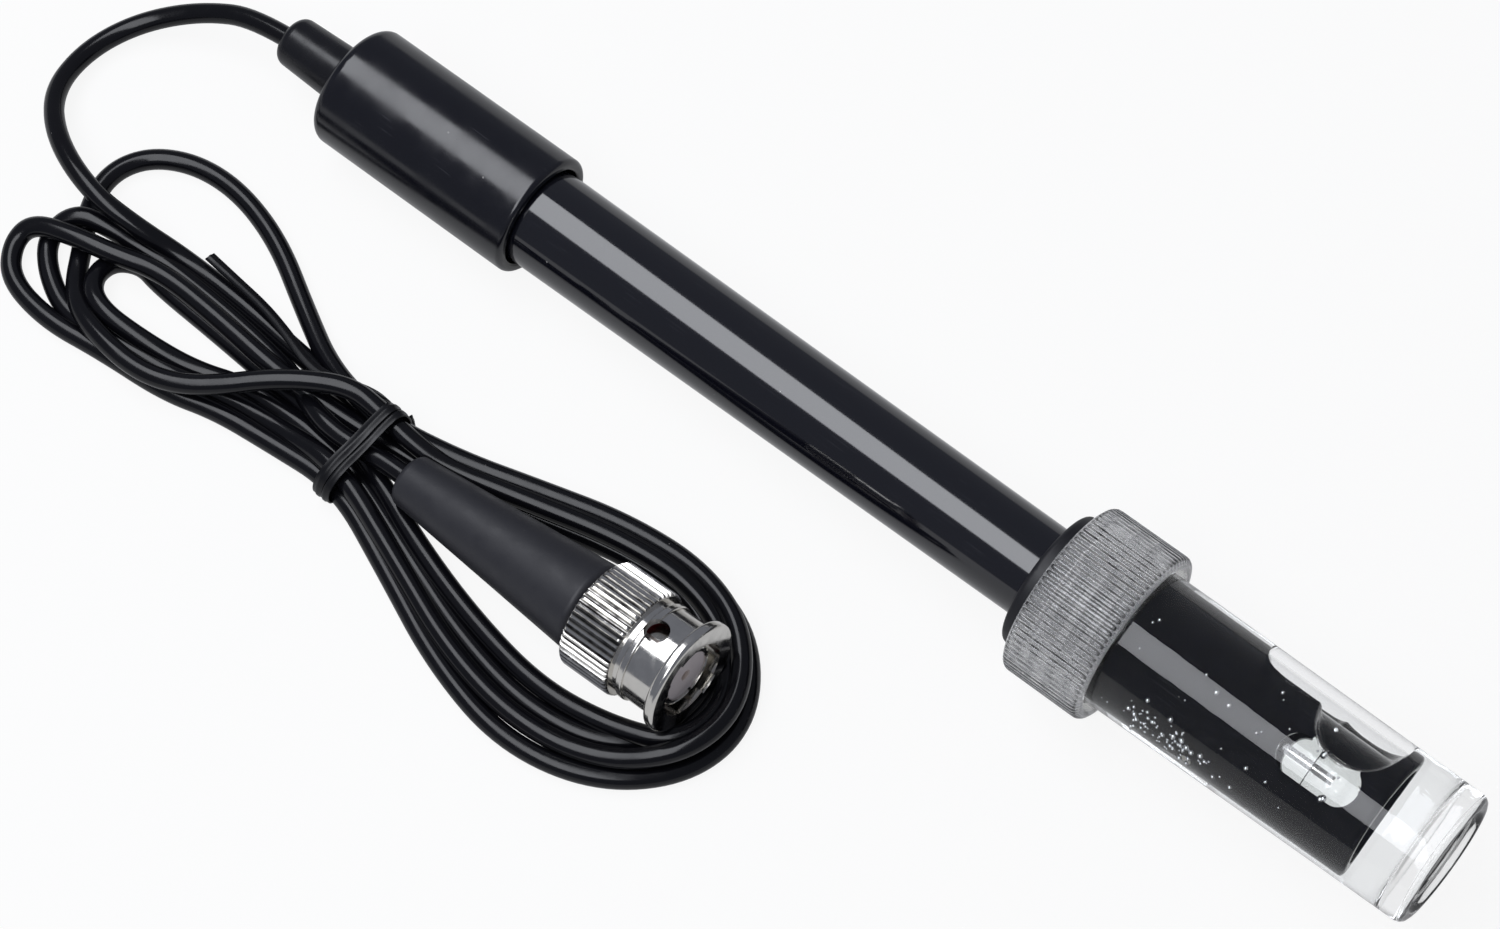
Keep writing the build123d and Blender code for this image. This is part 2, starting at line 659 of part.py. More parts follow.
def cable_tube(name, points):
    """Round tube along straight runs joined by tangent arcs, as large as the runs allow."""
    corners = [Vector(point) for point in points]
    radii = []
    for before, corner, after in zip(corners, corners[1:], corners[2:]):
        arriving = corner - before
        leaving = after - corner
        shorter = min(arriving.length, leaving.length)
        half_turn = math.radians(arriving.get_angle(leaving)) / 2
        radii.append(ARC_SHARE * shorter / math.tan(half_turn))
    path = FilletPolyline(*corners, radius=radii) if radii else Polyline(*corners)
    section = Plane(origin=path @ 0, z_dir=path % 0) * Circle(CABLE_DIAMETER / 2)
    tube = sweep(section, path=path)
    expected = math.pi * CABLE_DIAMETER**2 / 4 * path.length
    print(name, "radii", [round(radius, 1) for radius in radii])
    print(name, "length", round(path.length, 1), "volume ratio", round(tube.volume / expected, 4))
    return tube


def cable_lead():
    """Cable from the gland to the hank."""
    start = (BENCH * Pos(CABLE_START, 0, 0)).position
    clear_of_gland = (BENCH * Pos(-GLAND_LENGTH - CABLE_PAST_GLAND, 0, 0)).position
    return cable_tube("cable_lead", [start, clear_of_gland, *LEAD_ROUTE])


def cable_slack_loop():
    """Loose loop at the hank's left end."""
    return cable_tube("cable_slack_loop", SLACK_ROUTE)


def cable_tail():
    """Last stretch of cable, from the tie into the plug's boot."""
    inside = (PLUG * Pos(CABLE_IN_BOOT, 0, 0)).position
    outside = (PLUG * Pos(-CABLE_BEHIND_BOOT, 0, 0)).position
    return cable_tube("cable_tail", [outside, inside])


def plug_envelope():
    """Room that the plug takes up in the hank."""
    gap = HANK_PLUG_GAP
    sleeve_radius = max(KNURL_DIAMETER, LIP_DIAMETER) / 2 + gap
    return turned(
        (-gap, 0),
        (-gap, BOOT_REAR_DIAMETER / 2 + gap),
        (BOOT_LENGTH - gap, BOOT_FRONT_DIAMETER / 2 + gap),
        (BOOT_LENGTH - gap, sleeve_radius),
        (SLEEVE_FRONT + gap, sleeve_radius),
        (SLEEVE_FRONT + gap, 0),
    )


def cable_hank():
    """Tied hank of cable as one flat block with its two loops, hollowed under the plug and the tie."""
    outline = make_face(Spline(*HANK_OUTLINE, periodic=True))
    for opening in (HANK_RIGHT_OPENING, HANK_LEFT_OPENING):
        outline -= make_face(Spline(*opening, periodic=True))
    return extrude(outline, HANK_HEIGHT) - PLUG * plug_envelope() - twist_tie()


def twist_tie():
    """Band round the hank's waist."""
    width = TIE_SIDES[1] - TIE_SIDES[0]
    height = HANK_HEIGHT + TIE_THICKNESS
    middle = (TIE_SIDES[0] + TIE_SIDES[1]) / 2
    corner = (TIE_STATION - TIE_WIDTH / 2, middle, height / 2)
    plane = Plane(origin=corner, x_dir=(0, 1, 0), z_dir=(1, 0, 0))
    twice = 2 * TIE_THICKNESS
    outside = RectangleRounded(width, height, TIE_ROUND)
    inside = RectangleRounded(width - twice, height - twice, TIE_ROUND - TIE_THICKNESS)
    return extrude(plane * (outside - inside), TIE_WIDTH)


ON_BENCH = [
    handle_cap,
    cable_gland,
    shaft_tube,
    junction_frit,
    glass_stem,
    top_bung,
    stem_seal,
    measuring_wire,
    reference_wire,
    core_lead,
    soak_bottle,
    cap_seal,
    screw_cap,
]
ON_PLUG = [
    plug_boot,
    plug_ferrule,
    plug_body,
    plug_gasket,
    plug_insulator,
    plug_pin,
    retaining_ring,
    spring_washer,
    coupling_sleeve,
]
IN_PLACE = [cable_lead, cable_slack_loop, cable_tail, cable_hank, twist_tie]

os.makedirs("parts", exist_ok=True)
for place, pieces in ((BENCH, ON_BENCH), (PLUG, ON_PLUG), (Location(), IN_PLACE)):
    for piece in pieces:
        export_step(place * piece(), f"parts/{piece.__name__}.step")
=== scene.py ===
# %% [markdown]
# # A pH electrode in its soaking bottle
# The CAD model is the frame of this lesson: every piece below is in metres and in the same place
# as its solid. Blender adds what solids can't show, which is the limp cable in its hank, the
# twist tie, the storage liquid with its air pocket, the screw thread and the finish of each
# surface.

# %% Load the frame
import json
import math
import random

import bmesh
import bpy
from mathutils import Matrix, Vector


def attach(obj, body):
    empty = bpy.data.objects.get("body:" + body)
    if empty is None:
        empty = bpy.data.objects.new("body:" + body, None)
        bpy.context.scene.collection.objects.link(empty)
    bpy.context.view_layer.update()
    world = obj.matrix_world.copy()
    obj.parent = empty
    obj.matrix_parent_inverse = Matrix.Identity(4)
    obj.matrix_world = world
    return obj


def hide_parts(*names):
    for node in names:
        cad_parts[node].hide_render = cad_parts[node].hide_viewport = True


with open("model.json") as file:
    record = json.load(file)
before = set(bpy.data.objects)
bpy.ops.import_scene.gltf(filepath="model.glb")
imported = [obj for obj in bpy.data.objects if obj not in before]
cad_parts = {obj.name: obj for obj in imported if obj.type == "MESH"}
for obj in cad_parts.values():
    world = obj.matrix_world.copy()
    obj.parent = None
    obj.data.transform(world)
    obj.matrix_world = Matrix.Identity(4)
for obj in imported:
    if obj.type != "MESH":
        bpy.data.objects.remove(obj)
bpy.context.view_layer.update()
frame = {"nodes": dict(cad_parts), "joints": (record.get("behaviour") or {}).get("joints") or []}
NODES = frame["nodes"]

# %% [markdown]
# Turned pieces are placed by two axes. One runs through the electrode, from the rear face of the
# handle at station 0 to the bottle's foot, and the other through the plug. The joints in the
# record know both, so the lesson reads them there and keeps its own numbers in millimetres.

# %% The two axes
MM = 0.001
JOINTS = {joint["name"]: joint for joint in frame["joints"]}
CAP_HINGE_STATION = 114.5
PLUG_FRONT_STATION = 43.9


class Axis:
    """A line through turned pieces, with stations along it and angles measured from the top."""

    def __init__(self, direction, point, station):
        self.along = Vector(direction).normalized()
        self.side = Vector((0.0, -1.0, 0.0))
        self.up = self.side.cross(self.along).normalized()
        self.start = Vector(point) - self.along * station * MM

    def at(self, station, radius=0.0, angle=0.0):
        """The point at a station and radius in millimetres and an angle in radians."""
        out = self.up * math.cos(angle) + self.side * math.sin(angle)
        return self.start + self.along * station * MM + out * radius * MM


ELECTRODE = Axis(JOINTS["bottle_slide"]["axis"], JOINTS["cap_turn"]["pos_m"], CAP_HINGE_STATION)
PLUG = Axis(JOINTS["sleeve_turn"]["axis"], JOINTS["sleeve_turn"]["pos_m"], PLUG_FRONT_STATION)
print("handle rear at", [round(v / MM, 2) for v in ELECTRODE.at(0)])
print("boot rear at", [round(v / MM, 2) for v in PLUG.at(0)])

# %% [markdown]
# The photograph looks down steeply from in front of the bottle's end. A long lens keeps the
# handle and the bottle nearly the same scale. The camera is placed by its angle round the object,
# its height and its distance from the point it looks at.

# %% Camera
LOOK_AT = Vector((-8.45, -6.38, -0.13)) * MM
TURN_ROUND = math.radians(39.2)
LOOK_DOWN = math.radians(64.9)
DISTANCE = 527.3 * MM
FOCAL_PIXELS = 4400
PHOTO_WIDTH = 1500

backwards = Vector((
    math.sin(TURN_ROUND) * math.cos(LOOK_DOWN),
    -math.cos(TURN_ROUND) * math.cos(LOOK_DOWN),
    math.sin(LOOK_DOWN),
))
lens = bpy.data.cameras.new("studio_camera")
lens.sensor_fit = "HORIZONTAL"
lens.sensor_width = 36.0
lens.lens = FOCAL_PIXELS * lens.sensor_width / PHOTO_WIDTH
lens.clip_start = 0.01
lens.clip_end = 50.0
camera = bpy.data.objects.new("studio_camera", lens)
camera.location = LOOK_AT + backwards * DISTANCE
camera.rotation_euler = backwards.to_track_quat("Z", "Y").to_euler()
bpy.context.scene.collection.objects.link(camera)
bpy.context.scene.camera = camera
print("camera at", [round(v, 4) for v in camera.location], "lens", lens.lens)

# %% [markdown]
# The cable is one limp cord. It leaves the gland, drops to the bench and joins a hank that is
# pinched by a tie, like a bow with two loops. Four strands pass round the right loop. One of them
# crosses at the tie, comes back over the top of the bundle and swings out in the slack loop on
# the upper left. A coil can be drawn by hand point by point, but a table is easier to correct:
# each row gives the inner and the outer edge of the bundle, and each strand says how far across
# it lies and how many layers up.

# %% Rows of the hank
UPPER_LEFT = [
    ((-79.0, -33.6), (-79.0, -29.0)),
    ((-69.0, -33.9), (-68.6, -29.2)),
    ((-58.5, -34.8), (-57.5, -30.2)),
]
RIGHT_END = [
    ((-34.4, -31.4), (-34.3, -29.0)),
    ((-24.0, -28.5), (-24.3, -25.8)),
    ((-13.1, -25.5), (-13.8, -22.4)),
    ((-2.9, -24.5), (-2.9, -21.5)),
]
RIGHT_BEND = [
    ((4.6, -28.2), (6.7, -24.6)),
    ((8.6, -33.7), (12.8, -33.0)),
    ((7.2, -40.0), (11.4, -42.0)),
]
LOWER_RIGHT = [
    ((0.3, -43.4), (3.8, -49.9)),
    ((-9.0, -45.0), (-8.0, -52.7)),
    ((-20.0, -43.1), (-20.4, -50.2)),
    ((-31.0, -40.4), (-32.2, -44.8)),
]
LOWER_LEFT = [
    ((-54.0, -36.7), (-54.8, -40.9)),
    ((-61.5, -37.2), (-62.3, -42.0)),
    ((-68.0, -39.6), (-68.8, -43.7)),
]
BENCH_LAYER = 1.35
LAYER_STEP = 2.5
print("hank rows:", sum(map(len, (UPPER_LEFT, RIGHT_END, RIGHT_BEND, LOWER_RIGHT, LOWER_LEFT))))

# %% Where each strand lies in the bundle
LAY_UPPER_LEFT = {
    "first": (1.0, 0), "second": (0.12, 1), "crossing": (0.0, 0), "last": (0.52, 0),
}
LAY_RIGHT_END = {
    "first": (1.0, 0), "second": (0.0, 0), "fourth": (0.85, 1), "crossing": (0.15, 1),
}
LAY_RIGHT_BEND = {
    "first": (1.0, 0), "second": (0.0, 0), "fourth": (0.74, 1.5), "crossing": (0.36, 0.8),
}
LAY_LOWER_RIGHT = {
    "first": (1.0, 0), "second": (0.34, 0), "fourth": (0.68, 0.4), "crossing": (0.02, 0.4),
}
LAY_LOWER_LEFT = {"first": (1.0, 0), "second": (0.0, 0), "fourth": (0.5, 0)}
UNEVEN = 0.04
looseness = random.Random(11)


def strand(rows, lay, name):
    """Points of one strand through some rows, a little uneven as a hand leaves them."""
    share, layer = lay[name]
    points = []
    for inner, outer in rows:
        part = share + looseness.uniform(-UNEVEN, UNEVEN)
        x = inner[0] + (outer[0] - inner[0]) * part
        y = inner[1] + (outer[1] - inner[1]) * part
        points.append((x, y, BENCH_LAYER + LAYER_STEP * layer))
    return points


def right_loop(name):
    """One pass round the right loop, from its upper side to its lower side."""
    points = strand(RIGHT_END, LAY_RIGHT_END, name) + strand(RIGHT_BEND, LAY_RIGHT_BEND, name)
    return points + strand(LOWER_RIGHT, LAY_LOWER_RIGHT, name)


print("strands:", sorted(LAY_RIGHT_END))

# %% [markdown]
# Nothing ties the left end, so its three loops are each a size of their own. The widest one lies
# on top, the next stands up inside it, and the smallest closes round the opening.

# %% Loops at the left end and loose stretches
LEFT_LOOPS = {
    "first": [
        (-78.4, -44.6, 1.4), (-86.5, -45.8, 1.4), (-93.7, -44.6, 1.4), (-96.6, -40.9, 1.9),
        (-95.8, -37.7, 3.5), (-90.0, -36.1, 4.4), (-85.0, -34.9, 4.1),
    ],
    "second": [
        (-75.0, -41.0, 2.8), (-81.8, -41.3, 3.4), (-85.2, -39.0, 2.9), (-85.7, -35.0, 1.6),
        (-82.5, -32.9, 1.4),
    ],
    "fourth": [
        (-77.4, -42.6, 1.4), (-85.0, -43.8, 1.4), (-90.8, -41.0, 1.4), (-94.2, -37.3, 1.4),
        (-92.7, -33.3, 3.5), (-88.0, -32.0, 2.9), (-84.0, -31.4, 1.6),
    ],
}
LEAD = [
    (-82.46, 0.0, 7.83), (-91.86, 0.0, 7.2), (-99.6, -3.0, 4.6), (-105.6, -8.4, 2.4),
    (-108.1, -15.4, 2.0), (-106.6, -22.8, 3.4), (-100.4, -28.2, 5.8), (-91.9, -31.1, 6.4),
    (-85.0, -30.6, 4.7),
]
OVER_THE_TOP = [
    (-40.0, -31.4, 5.2), (-45.2, -31.0, 6.2), (-49.8, -30.9, 6.4), (-54.4, -33.4, 6.4),
    (-58.6, -36.5, 6.0), (-62.6, -40.0, 5.0), (-66.8, -43.0, 4.3), (-71.8, -44.6, 4.0),
    (-77.8, -44.4, 4.0), (-83.6, -42.9, 3.2), (-87.1, -40.0, 1.6),
]
SLACK = [
    (-89.8, -35.8, 1.4), (-93.1, -31.0, 1.4), (-94.2, -25.8, 1.4), (-91.9, -21.2, 1.4),
    (-86.6, -18.3, 1.4), (-79.7, -17.9, 1.4), (-71.5, -20.2, 1.4), (-63.0, -25.0, 1.4),
    (-54.6, -29.5, 2.4),
]
TAIL = [
    (-52.0, -35.4, 4.0), (-47.0, -36.0, 4.3), (-41.84, -35.3, 4.71), (-37.06, -35.3, 5.22),
    (-29.1, -35.3, 6.05),
]
print("loose points:", len(LEAD) + len(OVER_THE_TOP) + len(SLACK) + len(TAIL))

# %% The whole route, strand by strand
route = LEAD + strand(UPPER_LEFT, LAY_UPPER_LEFT, "first")
route += [(-44.2, -31.0, 1.9)] + right_loop("first") + [(-44.2, -40.1, 1.9)]
route += strand(LOWER_LEFT, LAY_LOWER_LEFT, "first") + LEFT_LOOPS["first"]
route += strand(UPPER_LEFT, LAY_UPPER_LEFT, "second")
route += [(-44.0, -32.6, 1.9)] + right_loop("second") + [(-44.0, -37.6, 1.9)]
route += strand(LOWER_LEFT, LAY_LOWER_LEFT, "second") + LEFT_LOOPS["second"]
route += strand(UPPER_LEFT, LAY_UPPER_LEFT, "crossing")
route += [(-48.0, -34.8, 1.9), (-42.0, -36.2, 1.9)] + right_loop("crossing")[::-1]
route += OVER_THE_TOP + SLACK
route += [(-44.4, -31.3, 4.3)] + right_loop("fourth") + [(-44.4, -39.0, 4.3)]
route += strand(LOWER_LEFT, LAY_LOWER_LEFT, "fourth") + LEFT_LOOPS["fourth"]
route += strand(UPPER_LEFT, LAY_UPPER_LEFT, "last") + TAIL
print("cable route:", len(route), "points")

# %% [markdown]
# A NURBS spline of order 3 takes these points as its control points, so it never kinks and
# never dips under the bench. Its round bevel makes the jacket. Each point carries the cable's
# radius and the bevel is 1, because Blender counts a point's radius into the curve's box. Before
# the bevel goes on, the bare line tells how long the cable is and where it bends most.

# %% Helpers for smooth lines
CABLE_DIAMETER = 2.6 * MM


def smooth_line(name, points):
    """A NURBS curve object that follows some points in millimetres."""
    curve = bpy.data.curves.new(name, "CURVE")
    curve.dimensions = "3D"
    spline = curve.splines.new("NURBS")
    spline.points.add(len(points) - 1)
    for control, point in zip(spline.points, points):
        control.co = (point[0] * MM, point[1] * MM, point[2] * MM, 1.0)
        control.radius = CABLE_DIAMETER / 2
    spline.order_u = 3
    spline.use_endpoint_u = True
    spline.resolution_u = 10
    made = bpy.data.objects.new(name, curve)
    bpy.context.scene.collection.objects.link(made)
    return made


def points_on(line):
    """The points that Blender itself works out along a curve with no bevel."""
    mesh = bpy.data.meshes.new_from_object(line)
    points = [vertex.co.copy() for vertex in mesh.vertices]
    bpy.data.meshes.remove(mesh)
    return points


def sharpest_bend(points, apart):
    """Smallest radius over points this far apart, and where it is."""
    picked = [points[0]]
    for point in points:
        if (point - picked[-1]).length >= apart:
            picked.append(point)
    bends = []
    for a, b, c in zip(picked, picked[1:], picked[2:]):
        twice_area = (b - a).cross(c - a).length
        sides = (b - a).length * (c - b).length * (c - a).length
        bends.append((sides / max(2 * twice_area, 1e-12), b))
    return min(bends, key=lambda bend: bend[0])


print("line helpers ready")

# %% The cable
cable = smooth_line("cable", route)
middle = points_on(cable)
print("cable length", round(sum((b - a).length for a, b in zip(middle, middle[1:])), 4), "m")
bend, place = sharpest_bend(middle, 2 * CABLE_DIAMETER)
print("sharpest bend", round(bend / MM, 2), "mm at", [round(v / MM, 1) for v in place])
cable.data.bevel_depth = 1.0
cable.data.bevel_resolution = 5
cable.data.use_fill_caps = True
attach(cable, "electrode")
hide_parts("cable_lead", "cable_slack_loop", "cable_tail", "cable_hank")

# %% [markdown]
# The bench is white card that fades into a white room. A long soft box hangs over the middle and
# gives the hard-edged pale strip along the black barrel. The card keeps a soft shadow because
# only part of what the camera sees of it is a plain white, and the rest is lit card. Light Path
# tells rays apart, so reflections and views through glass get shares of white of their own. To
# Blender a view through glass counts as glossy too, so mirrored rays are those left over.

# %% Helpers for node trees
def sum_node(tree, operation, first, second):
    """A Math node whose two inputs are sockets or numbers."""
    node = tree.nodes.new("ShaderNodeMath")
    node.operation = operation
    for socket, value in zip(node.inputs, (first, second)):
        if isinstance(value, (int, float)):
            socket.default_value = value
        else:
            tree.links.new(value, socket)
    return node.outputs[0]


def blend(tree, share, first, second, end):
    """Mixes two shaders by a share and shows the result."""
    mix = tree.nodes.new("ShaderNodeMixShader")
    for socket, value in zip(mix.inputs, (share, first.outputs[0], second.outputs[0])):
        tree.links.new(value, socket)
    tree.links.new(mix.outputs[0], tree.nodes[end].inputs["Surface"])


print("tree helpers ready")

# %% Bench
REACH = 2.5
bench_mesh = bpy.data.meshes.new("bench")
bench_corners = [(-REACH, -REACH, 0), (REACH, -REACH, 0), (REACH, REACH, 0), (-REACH, REACH, 0)]
bench_mesh.from_pydata(bench_corners, [], [(0, 1, 2, 3)])
bench = bpy.data.objects.new("bench", bench_mesh)
bpy.context.scene.collection.objects.link(bench)
print("bench:", 2 * REACH, "m wide")

# %% White card
WHITE_TO_CAMERA = 0.9
GREY_IN_REFLECTIONS = 0.6
DIMMER_IN_REFLECTIONS = 0.56
WHITE_THROUGH_GLASS = 0.85
SURFACES_SEEN_THROUGH = 3.5

card = bpy.data.materials.new("white_card")
card.use_nodes = True
card_tree = card.node_tree
card_lit = card_tree.nodes["Principled BSDF"]
card_lit.inputs["Base Color"].default_value = (0.9, 0.9, 0.9, 1.0)
card_lit.inputs["Roughness"].default_value = 0.9
card_lit.inputs["Specular IOR Level"].default_value = 0.0
card_plain = card_tree.nodes.new("ShaderNodeEmission")
ray = card_tree.nodes.new("ShaderNodeLightPath").outputs
straight = sum_node(card_tree, "LESS_THAN", ray["Glossy Depth"], SURFACES_SEEN_THROUGH)
through = sum_node(card_tree, "MULTIPLY", ray["Is Transmission Ray"], straight)
mirrored = sum_node(card_tree, "SUBTRACT", ray["Is Glossy Ray"], ray["Is Transmission Ray"])
mirrored = sum_node(card_tree, "MAXIMUM", mirrored, 0.0)
plain_share = sum_node(card_tree, "MULTIPLY", ray["Is Camera Ray"], WHITE_TO_CAMERA)
mirror_share = sum_node(card_tree, "MULTIPLY", mirrored, GREY_IN_REFLECTIONS)
glass_share = sum_node(card_tree, "MULTIPLY", through, WHITE_THROUGH_GLASS)
white_share = sum_node(card_tree, "MAXIMUM", plain_share, mirror_share)
white_share = sum_node(card_tree, "MAXIMUM", white_share, glass_share)
dimmer = sum_node(card_tree, "MULTIPLY", mirrored, DIMMER_IN_REFLECTIONS)
card_tree.links.new(sum_node(card_tree, "SUBTRACT", 1.0, dimmer), card_plain.inputs["Strength"])
blend(card_tree, white_share, card_lit, card_plain, "Material Output")
bench.data.materials.append(card)
print("card:", WHITE_TO_CAMERA, "plain white to the camera")

# %% Room and soft box
room = bpy.data.worlds.new("white_room")
bpy.context.scene.world = room
room.use_nodes = True
room_tree = room.node_tree
room_light = room_tree.nodes["Background"]
room_light.inputs["Color"].default_value = (0.8, 0.85, 1.0, 1.0)
room_light.inputs["Strength"].default_value = 0.2
room_white = room_tree.nodes.new("ShaderNodeBackground")
room_white.inputs["Strength"].default_value = 1.0
ray = room_tree.nodes.new("ShaderNodeLightPath").outputs
allowed = sum_node(room_tree, "MULTIPLY", ray["Is Transmission Ray"], SURFACES_SEEN_THROUGH)
through = sum_node(room_tree, "GREATER_THAN", allowed, ray["Glossy Depth"])
seen = sum_node(room_tree, "MAXIMUM", ray["Is Camera Ray"], through)
blend(room_tree, seen, room_light, room_white, "World Output")

box_lamp = bpy.data.lights.new("soft_box", "AREA")
box_lamp.shape = "RECTANGLE"
box_lamp.size = 0.36
box_lamp.size_y = 0.95
box_lamp.energy = 4.4
box_lamp.color = (0.93, 0.95, 1.0)
soft_box = bpy.data.objects.new("soft_box", box_lamp)
soft_box.location = (-0.171, -0.2, 0.65)
soft_box.rotation_euler = (0.0, 0.0, TURN_ROUND)
soft_box.visible_camera = False
bpy.context.scene.collection.objects.link(soft_box)
bpy.context.scene.view_settings.view_transform = "Standard"
print("soft box", box_lamp.size, "by", box_lamp.size_y, "m")

# %% [markdown]
# Effects that several finishes share are node groups, built once. Mottle is the slow change of
# gloss that fingers and moulding leave. Grain is the fine roughness of rubber and jacket. Hairlines
# are scratches that run along X, the way the pieces slide in use. Specks are settled dust. All of
# them read object coordinates, which are metres in the frame, so a scale of 1000 is a millimetre.

# %% Helpers for node groups
def effect(name, inputs, outputs):
    """An empty shader node group with float inputs and outputs, and its two end nodes."""
    tree = bpy.data.node_groups.new(name, "ShaderNodeTree")
    for label, value in inputs.items():
        socket = tree.interface.new_socket(label, in_out="INPUT", socket_type="NodeSocketFloat")
        socket.default_value = value
    for label in outputs:
        tree.interface.new_socket(label, in_out="OUTPUT", socket_type="NodeSocketFloat")
    return tree, tree.nodes.new("NodeGroupInput"), tree.nodes.new("NodeGroupOutput")


def place_on_object(tree, stretch=(1.0, 1.0, 1.0)):
    """Object coordinates, stretched along each axis."""
    source = tree.nodes.new("ShaderNodeTexCoord")
    mapping = tree.nodes.new("ShaderNodeMapping")
    mapping.inputs["Scale"].default_value = stretch
    tree.links.new(source.outputs["Object"], mapping.inputs["Vector"])
    return mapping.outputs["Vector"]


print("group helpers ready")

# %% Mottle and grain
def make_mottle():
    tree, given, result = effect("mottle", {"Scale": 300.0, "Low": 0.1, "High": 0.2}, ["Value"])
    noise = tree.nodes.new("ShaderNodeTexNoise")
    noise.inputs["Detail"].default_value = 3.0
    tree.links.new(place_on_object(tree), noise.inputs["Vector"])
    tree.links.new(given.outputs["Scale"], noise.inputs["Scale"])
    spread = tree.nodes.new("ShaderNodeMapRange")
    spread.inputs["From Min"].default_value = 0.32
    spread.inputs["From Max"].default_value = 0.68
    tree.links.new(noise.outputs["Fac"], spread.inputs["Value"])
    tree.links.new(given.outputs["Low"], spread.inputs["To Min"])
    tree.links.new(given.outputs["High"], spread.inputs["To Max"])
    tree.links.new(spread.outputs["Result"], result.inputs["Value"])
    return tree


def make_grain():
    tree, given, result = effect("grain", {"Scale": 4000.0}, ["Height"])
    noise = tree.nodes.new("ShaderNodeTexNoise")
    noise.inputs["Detail"].default_value = 5.0
    noise.inputs["Roughness"].default_value = 0.6
    tree.links.new(place_on_object(tree), noise.inputs["Vector"])
    tree.links.new(given.outputs["Scale"], noise.inputs["Scale"])
    tree.links.new(noise.outputs["Fac"], result.inputs["Height"])
    return tree


MOTTLE = make_mottle()
GRAIN = make_grain()
print("groups:", MOTTLE.name, GRAIN.name)

# %% Hairlines and specks
def make_hairlines():
    tree, given, result = effect("hairlines", {"Scale": 6000.0, "Share": 0.25}, ["Mask"])
    noise = tree.nodes.new("ShaderNodeTexNoise")
    noise.inputs["Detail"].default_value = 2.0
    tree.links.new(place_on_object(tree, (0.02, 1.0, 1.0)), noise.inputs["Vector"])
    tree.links.new(given.outputs["Scale"], noise.inputs["Scale"])
    patches = tree.nodes.new("ShaderNodeTexNoise")
    patches.inputs["Scale"].default_value = 220.0
    tree.links.new(place_on_object(tree), patches.inputs["Vector"])
    line = tree.nodes.new("ShaderNodeMapRange")
    line.inputs["From Min"].default_value = 0.62
    line.inputs["From Max"].default_value = 0.72
    tree.links.new(noise.outputs["Fac"], line.inputs["Value"])
    here = tree.nodes.new("ShaderNodeMapRange")
    here.inputs["From Min"].default_value = 0.5
    here.inputs["From Max"].default_value = 0.62
    tree.links.new(patches.outputs["Fac"], here.inputs["Value"])
    both = sum_node(tree, "MULTIPLY", line.outputs["Result"], here.outputs["Result"])
    tree.links.new(sum_node(tree, "MULTIPLY", both, given.outputs["Share"]), result.inputs["Mask"])
    return tree


def make_specks():
    tree, given, result = effect("specks", {"Scale": 700.0, "Share": 0.12, "Size": 0.1}, ["Mask"])
    cells = tree.nodes.new("ShaderNodeTexVoronoi")
    tree.links.new(place_on_object(tree), cells.inputs["Vector"])
    tree.links.new(given.outputs["Scale"], cells.inputs["Scale"])
    split = tree.nodes.new("ShaderNodeSeparateColor")
    tree.links.new(cells.outputs["Color"], split.inputs["Color"])
    chosen = sum_node(tree, "LESS_THAN", split.outputs["Red"], given.outputs["Share"])
    radius = sum_node(tree, "MULTIPLY", split.outputs["Green"], given.outputs["Size"])
    near = sum_node(tree, "LESS_THAN", cells.outputs["Distance"], radius)
    tree.links.new(sum_node(tree, "MULTIPLY", chosen, near), result.inputs["Mask"])
    return tree


HAIRLINES = make_hairlines()
SPECKS = make_specks()
print("groups:", HAIRLINES.name, SPECKS.name)

# %% [markdown]
# Every finish starts from one Principled shader. What is the same all over a surface is set on
# the shader itself, and only what changes over the surface comes through the groups.

# %% Helpers for finishes
def finish(name, colour, roughness, **settings):
    """A material with one Principled shader, whose plain values are set on its own sockets."""
    made = bpy.data.materials.new(name)
    made.use_nodes = True
    shader = made.node_tree.nodes["Principled BSDF"]
    shader.inputs["Base Color"].default_value = (*colour, 1.0)
    shader.inputs["Roughness"].default_value = roughness
    for label, value in settings.items():
        shader.inputs[label.replace("_", " ")].default_value = value
    return made


def use(made, group, **values):
    """Places a node group in a material with its own values."""
    node = made.node_tree.nodes.new("ShaderNodeGroup")
    node.node_tree = group
    for label, value in values.items():
        node.inputs[label].default_value = value
    return node


def shader_of(made):
    return made.node_tree.nodes["Principled BSDF"]


def vary_gloss(made, scale, low, high):
    """Lets the roughness wander between two values."""
    node = use(made, MOTTLE, Scale=scale, Low=low, High=high)
    made.node_tree.links.new(node.outputs["Value"], shader_of(made).inputs["Roughness"])


def add_bump(made, height, strength, depth):
    """Feeds a height into Normal, after any bump that is there already."""
    tree = made.node_tree
    bump = tree.nodes.new("ShaderNodeBump")
    bump.inputs["Strength"].default_value = strength
    bump.inputs["Distance"].default_value = depth * MM
    tree.links.new(height, bump.inputs["Height"])
    normal = shader_of(made).inputs["Normal"]
    if normal.is_linked:
        tree.links.new(normal.links[0].from_socket, bump.inputs["Normal"])
    tree.links.new(bump.outputs["Normal"], normal)


def mix_in(made, mask, colour):
    """Mixes another colour into Base Color where a mask is 1."""
    tree = made.node_tree
    base = shader_of(made).inputs["Base Color"]
    mix = tree.nodes.new("ShaderNodeMix")
    mix.data_type = "RGBA"
    if base.is_linked:
        tree.links.new(base.links[0].from_socket, mix.inputs["A"])
    else:
        mix.inputs["A"].default_value = base.default_value
    mix.inputs["B"].default_value = (*colour, 1.0)
    tree.links.new(mask, mix.inputs["Factor"])
    tree.links.new(mix.outputs["Result"], base)


print("finish helpers ready")

